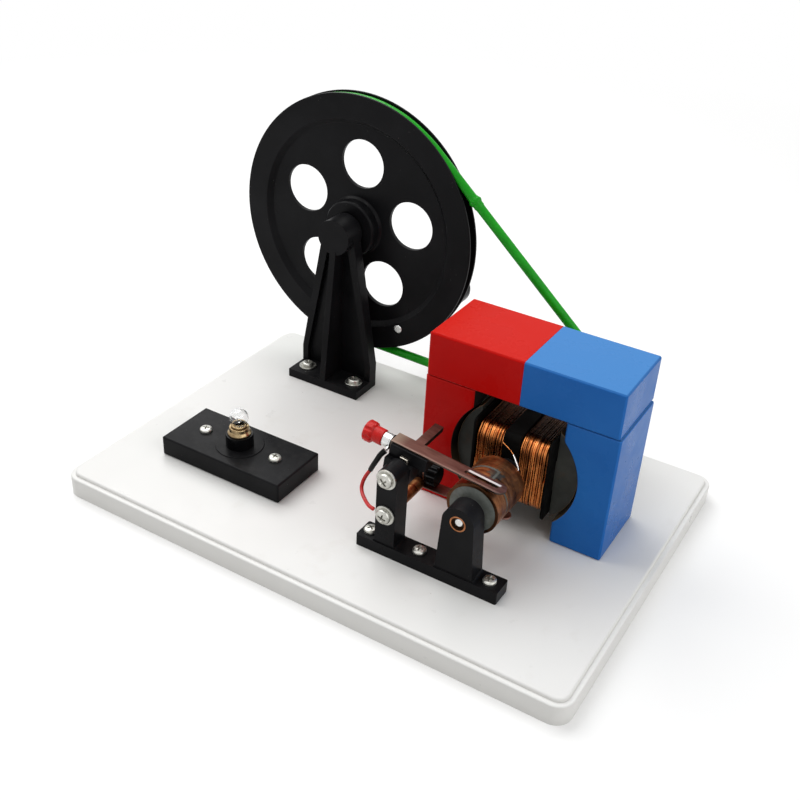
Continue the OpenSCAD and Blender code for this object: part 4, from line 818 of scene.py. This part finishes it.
def coil_layer(rng, inset, wire, steps, sides, wander, lift):
    """One layer of turns as a single wandering wire along +X."""
    start = COIL_NEAR - COIL_OVERHANG + wire / 2
    pitch = (COIL_FAR - COIL_NEAR + 2 * COIL_OVERHANG - wire) / TURNS
    waves = [(rng.uniform(1.5, 6.5), rng.uniform(0, 2 * math.pi), rng.uniform(0.4, 1.0)) for _ in range(5)]
    offsets = [(rng.uniform(-1, 1) * wander, rng.uniform(0, 1) * lift) for _ in range(TURNS + 1)]
    path = []
    for i in range(TURNS * steps + 1):
        t = i / steps
        turn = int(t)
        a, b = offsets[turn], offsets[min(turn + 1, TURNS)]
        f = t - turn
        f = f * f * (3 - 2 * f)
        sway = sum(w * math.sin(q * t * 2 * math.pi + ph) for q, ph, w in waves) / 5
        place, out = loop_point(t, inset)
        x = start + pitch * t + a[0] + (b[0] - a[0]) * f + wander * 0.6 * sway
        x = min(max(x, COIL_NEAR - 0.2), COIL_FAR + 0.2)
        up = a[1] + (b[1] - a[1]) * f + lift * 0.5 * abs(sway)
        path.append(mm((x, *(place + up * out))))
    return tube_data(path, wire / 2 * MM, sides)


def coil_block(inset, hollow):
    """The wound core under the two outer layers, with the armature's tooth left open inside it."""
    steps = 64
    sides = (COIL_NEAR - 0.3, COIL_FAR + 0.3)
    points = [mm((x, *loop_point(i / steps, depth)[0])) for depth in (inset, hollow) for x in sides
              for i in range(steps)]
    a, b, c, d = (steps * k for k in range(4))
    faces = []
    for k in range(steps):
        j = (k + 1) % steps
        faces += [(a + k, a + j, b + j, b + k), (c + j, c + k, d + k, d + j),
                  (a + j, a + k, c + k, c + j), (b + k, b + j, d + j, d + k)]
    return points, faces


def make_windings():
    for side, seed, name, nodes in ((-1, 11, "coil_left", ["winding_left", "coil_packs"]),
                                    (1, 23, "coil_right", ["winding_right"])):
        rng = random.Random(seed)
        points, faces = gather([
            coil_block(1.75, 8.4),
            coil_layer(rng, inset=0.95, wire=1.05, steps=56, sides=6, wander=0.15, lift=0.05),
            coil_layer(rng, inset=0.1, wire=0.98, steps=96, sides=10, wander=0.3, lift=0.3)])
        points = [Vector((AXIS[0] * MM + side * p.x, p.y, AXIS[1] * MM + p.z)) for p in points]
        if side < 0:
            faces = [tuple(reversed(f)) for f in faces]
        coil = new_object(name, mesh_from(points, faces, name), "armature", "copper", nodes, "wire")
        smooth(coil.data, 50)


# Belt
def belt_stations():
    """The belt's line in mm, each point with how flat it is pressed and how far along the upper run it is."""
    dx, dz = AXIS[0] - WHEEL[0], AXIS[1] - WHEEL[1]
    span, slope = math.hypot(dx, dz), math.atan2(dz, dx)
    turn = math.acos((BELT_WHEEL_R - BELT_PULLEY_R) / span)
    run = math.sqrt(span * span - (BELT_WHEEL_R - BELT_PULLEY_R) ** 2)
    elsewhere = -99

    def on(centre, r, a):
        return Vector((centre[0] + r * math.cos(a), BELT_Y, centre[1] + r * math.sin(a)))

    wheel_steps, upper_steps, pulley_steps, lower_steps = 120, 60, 48, 40
    stations = []
    for i in range(wheel_steps + 1):
        place = on(WHEEL, BELT_WHEEL_R, slope - turn + (2 * turn - 2 * math.pi) * i / wheel_steps)
        stations.append((place, BELT_PRESS * min(1, i / 4, (wheel_steps - i) / 4), elsewhere))
    start, end = stations[-1][0], on(AXIS, BELT_PULLEY_R, slope + turn)
    even = {run * i / upper_steps for i in range(1, upper_steps)}
    by_weld = {WELD_AT - 6 + 0.5 * i for i in range(26)}
    for s in sorted(even | by_weld):
        stations.append((start + (end - start) * (s / run), 0.0, s))
    for i in range(pulley_steps + 1):
        place = on(AXIS, BELT_PULLEY_R, slope + turn - 2 * turn * i / pulley_steps)
        stations.append((place, 0.0, elsewhere))
    start, end = stations[-1][0], stations[0][0]
    for i in range(1, lower_steps):
        stations.append((start + (end - start) * i / lower_steps, 0.0, elsewhere))
    return stations


def make_belt():
    sides, across = 20, Vector((0, 1, 0))
    stations = belt_stations()
    count = len(stations)
    points, faces = [], []
    rng = random.Random(5)
    for i, (p, press, s) in enumerate(stations):
        heading = (stations[(i + 1) % count][0] - stations[i - 1][0]).normalized()
        out = heading.cross(across).normalized()
        lump = 0.95 * math.exp(-((s - WELD_AT) / 1.9) ** 2) + 0.3 * math.exp(-((s - WELD_TAIL) / 1.0) ** 2)
        for k in range(sides):
            a = 2 * math.pi * k / sides
            r = BELT_R + lump * (1 + 0.25 * math.sin(2 * a + 1.1) + 0.12 * rng.uniform(-1, 1))
            points.append((p + (r - press) * math.cos(a) * out + r * math.sin(a) * across) * MM)
    for i in range(count):
        a, b = i * sides, (i + 1) % count * sides
        faces += [(a + k, b + k, b + (k + 1) % sides, a + (k + 1) % sides) for k in range(sides)]
    belt = new_object("belt_loop", mesh_from(points, faces, "belt_loop"), "base", "belt_green",
                      ["drive_belt"])
    smooth(belt.data, 60)


# Screws
def cross_tool(reach, width, depth, top):
    """A tapered cross that cuts a screw's recess, its wide end above the head."""
    def ring(scale, z):
        w, r = width / 2 * scale, reach * scale
        corners, outline = [(w, w), (w, r), (-w, r)], []
        for _ in range(4):
            outline += corners
            corners = [(-y, x) for x, y in corners]
        return [mm((x, y, z)) for x, y in outline]

    points = ring(1.15, top + 0.4) + ring(0.62, top - depth)
    faces = [tuple(range(12)), tuple(range(23, 11, -1))]
    faces += [(k, k + 12, (k + 1) % 12 + 12, (k + 1) % 12) for k in range(12)]
    return points, faces


def pan_head(head_d, head_h, length, dome):
    """A pan head screw, its head's underside at z = 0, as points and faces."""
    r, s = head_d / 2, SCREW_D / 2
    round_r = head_h * 0.62
    edge = r - round_r
    profile = [(0, -length), (s - 0.6, -length), (s, 0.6 - length), (s, 0), (r - 0.15, 0), (r, 0.15)]
    for k in range(9):
        a = math.radians(90 * k / 8)
        profile.append((edge + round_r * math.cos(a), head_h - round_r + round_r * math.sin(a)))
    profile += [(edge * (1 - k / 4), head_h + dome * (1 - (1 - k / 4) ** 2)) for k in range(1, 5)]
    head = closed(*lathe(profile, 40), "head")
    tool = closed(*cross_tool(head_d * 0.29, head_d * 0.115, head_h * 0.72, head_h + dome), "tool")
    made = cut(head, tool)
    return [v.co.copy() for v in made.vertices], [tuple(p.vertices) for p in made.polygons]


def ring_washer(bevel=0.18):
    outer, hole, t = WASHER_D / 2, WASHER_HOLE / 2, WASHER_T
    return lathe([(hole, 0), (outer - bevel, 0), (outer, bevel), (outer, t - bevel), (outer - bevel, t),
                  (hole, t), (hole, 0)], 56)


def make_screws():
    small = pan_head(head_d=8.0, head_h=2.35, length=16.5, dome=0.3)
    big = pan_head(head_d=9.0, head_h=2.6, length=18.0, dome=0.35)
    ring = ring_washer()
    rng = random.Random(3)

    def place(part, axis, at):
        turn = towards(axis, at) @ Matrix.Rotation(rng.uniform(0, 1.57), 4, "Z")
        return [turn @ p for p in part[0]], part[1]

    def row(name, node, head, axis, seats, washers=False):
        """The screws of one node at their seats, each on a washer where there are any."""
        lift = Vector(axis) * (WASHER_T + HEAD_GAP if washers else 0)
        parts = [place(head, axis, Vector(seat) + lift) for seat in seats]
        if washers:
            parts += [place(ring, axis, seat) for seat in seats]
        obj = new_object(name, mesh_from(*gather(parts), name), "base", "bright_steel", [node], "zinc")
        smooth(obj.data, 32)

    up, out = (0, 0, 1), (0, -1, 0)
    row("post_screws", "wheel_post_screws", small, up, POST_SEATS, washers=True)
    row("front_screws", "front_bracket_screws", small, up, FRONT_SEATS)
    row("rear_screws", "rear_bracket_screws", small, up, REAR_SEATS)
    row("lamp_screw_heads", "lamp_screws", small, up, LAMP_SEATS)
    row("brush_post_screws", "brush_screws", big, out, BRUSH_SEATS, washers=True)


# Wire ends on the barrel
def make_coil_leads():
    ax, az = AXIS
    wire_r, blob, lower_r = 0.3, 0.35, 0.38

    def on_barrel(degrees, y):
        r, a = BARREL_R + 0.5, math.radians(degrees)
        return ax + r * math.cos(a), y, az + r * math.sin(a)

    upper = smooth_path([(ax - 5.2, -9.8, az + 17.4), (ax - 4.1, -11.4, az + 17.5),
                         (ax + 3.6, -15.6, az + 16.1), on_barrel(50.6, -21.2), on_barrel(46, -22.9)])
    lower = smooth_path([(ax + 6.6, -9.6, az - 17.6), (ax + 5.6, -11.5, az - 17.2),
                         (ax - 3, -14.5, az - 13), (ax - 5, -19, az - 9), (ax - 5, -21.95, az - 9)])
    # the upper end is tinned over its last half, thickest where the solder has run
    tinned_from = int(len(upper) * 0.52)
    wires = gather([tube_data(upper[:tinned_from + 1], wire_r * MM, 10), tube_data(lower, lower_r * MM, 10)])
    bare = new_object("coil_wire_ends", mesh_from(*wires, "coil_wire_ends"), "armature", "copper",
                      ["coil_leads"], "wire")
    solder = tube_data(upper[tinned_from:],
                       lambda t: (wire_r + blob * math.exp(-((t - 0.3) / 0.22) ** 2)) * MM, 12)
    tinned = new_object("tinned_wire_end", mesh_from(*solder, "tinned_wire_end"), "armature",
                        "bright_steel")
    smooth(bare.data, 60)
    smooth(tinned.data, 60)


# CAD nodes, painted and with rounded edges
def dress_nodes():
    slots = {s["node"]: s["material_slot"] for s in frame["record"]["subparts"]}
    finishes = {"upper_brush": "strip", "block_nut": "nickel", "armature_hub": "dead_black",
                "slot_lining": "dead_black"}
    bevels = {"base_plate": 0.0, "bulb_glass": 0.0, "bulb_filament": 0.0, "lamp_block": 0.7,
              "drive_wheel": 0.4}
    for node, obj in NODES.items():
        paint(obj, finishes.get(node, slots[node]))
        for p in obj.data.polygons:
            p.use_smooth = True
        weld = obj.modifiers.new("weld", "WELD")
        weld.merge_threshold = 1e-6
        flat = obj.modifiers.new("flat", "DECIMATE")
        flat.decimate_type = "DISSOLVE"
        flat.angle_limit = math.radians(0.5)
        width = bevels.get(node, 0.25)
        if width:
            bevel = obj.modifiers.new("bevel", "BEVEL")
            bevel.width = width * MM
            bevel.segments = 2
            bevel.limit_method = "ANGLE"
            bevel.angle_limit = math.radians(35)
            bevel.use_clamp_overlap = True
        crease = obj.modifiers.new("crease", "EDGE_SPLIT")
        crease.split_angle = math.radians(36)
        crease.use_edge_sharp = False
        weighted = obj.modifiers.new("weighted", "WEIGHTED_NORMAL")
        weighted.weight = 80
        weighted.keep_sharp = True


def make_floor():
    corners = [(x * FLOOR_HALF, y * FLOOR_HALF, 0) for x, y in ((-1, -1), (1, -1), (1, 1), (-1, 1))]
    floor = bpy.data.objects.new("floor", mesh_from(corners, [(0, 1, 2, 3)], "floor"))
    bpy.context.scene.collection.objects.link(floor)
    paint(floor, "floor")


make_lead()
make_windings()
make_belt()
make_screws()
make_coil_leads()
dress_nodes()
make_floor()
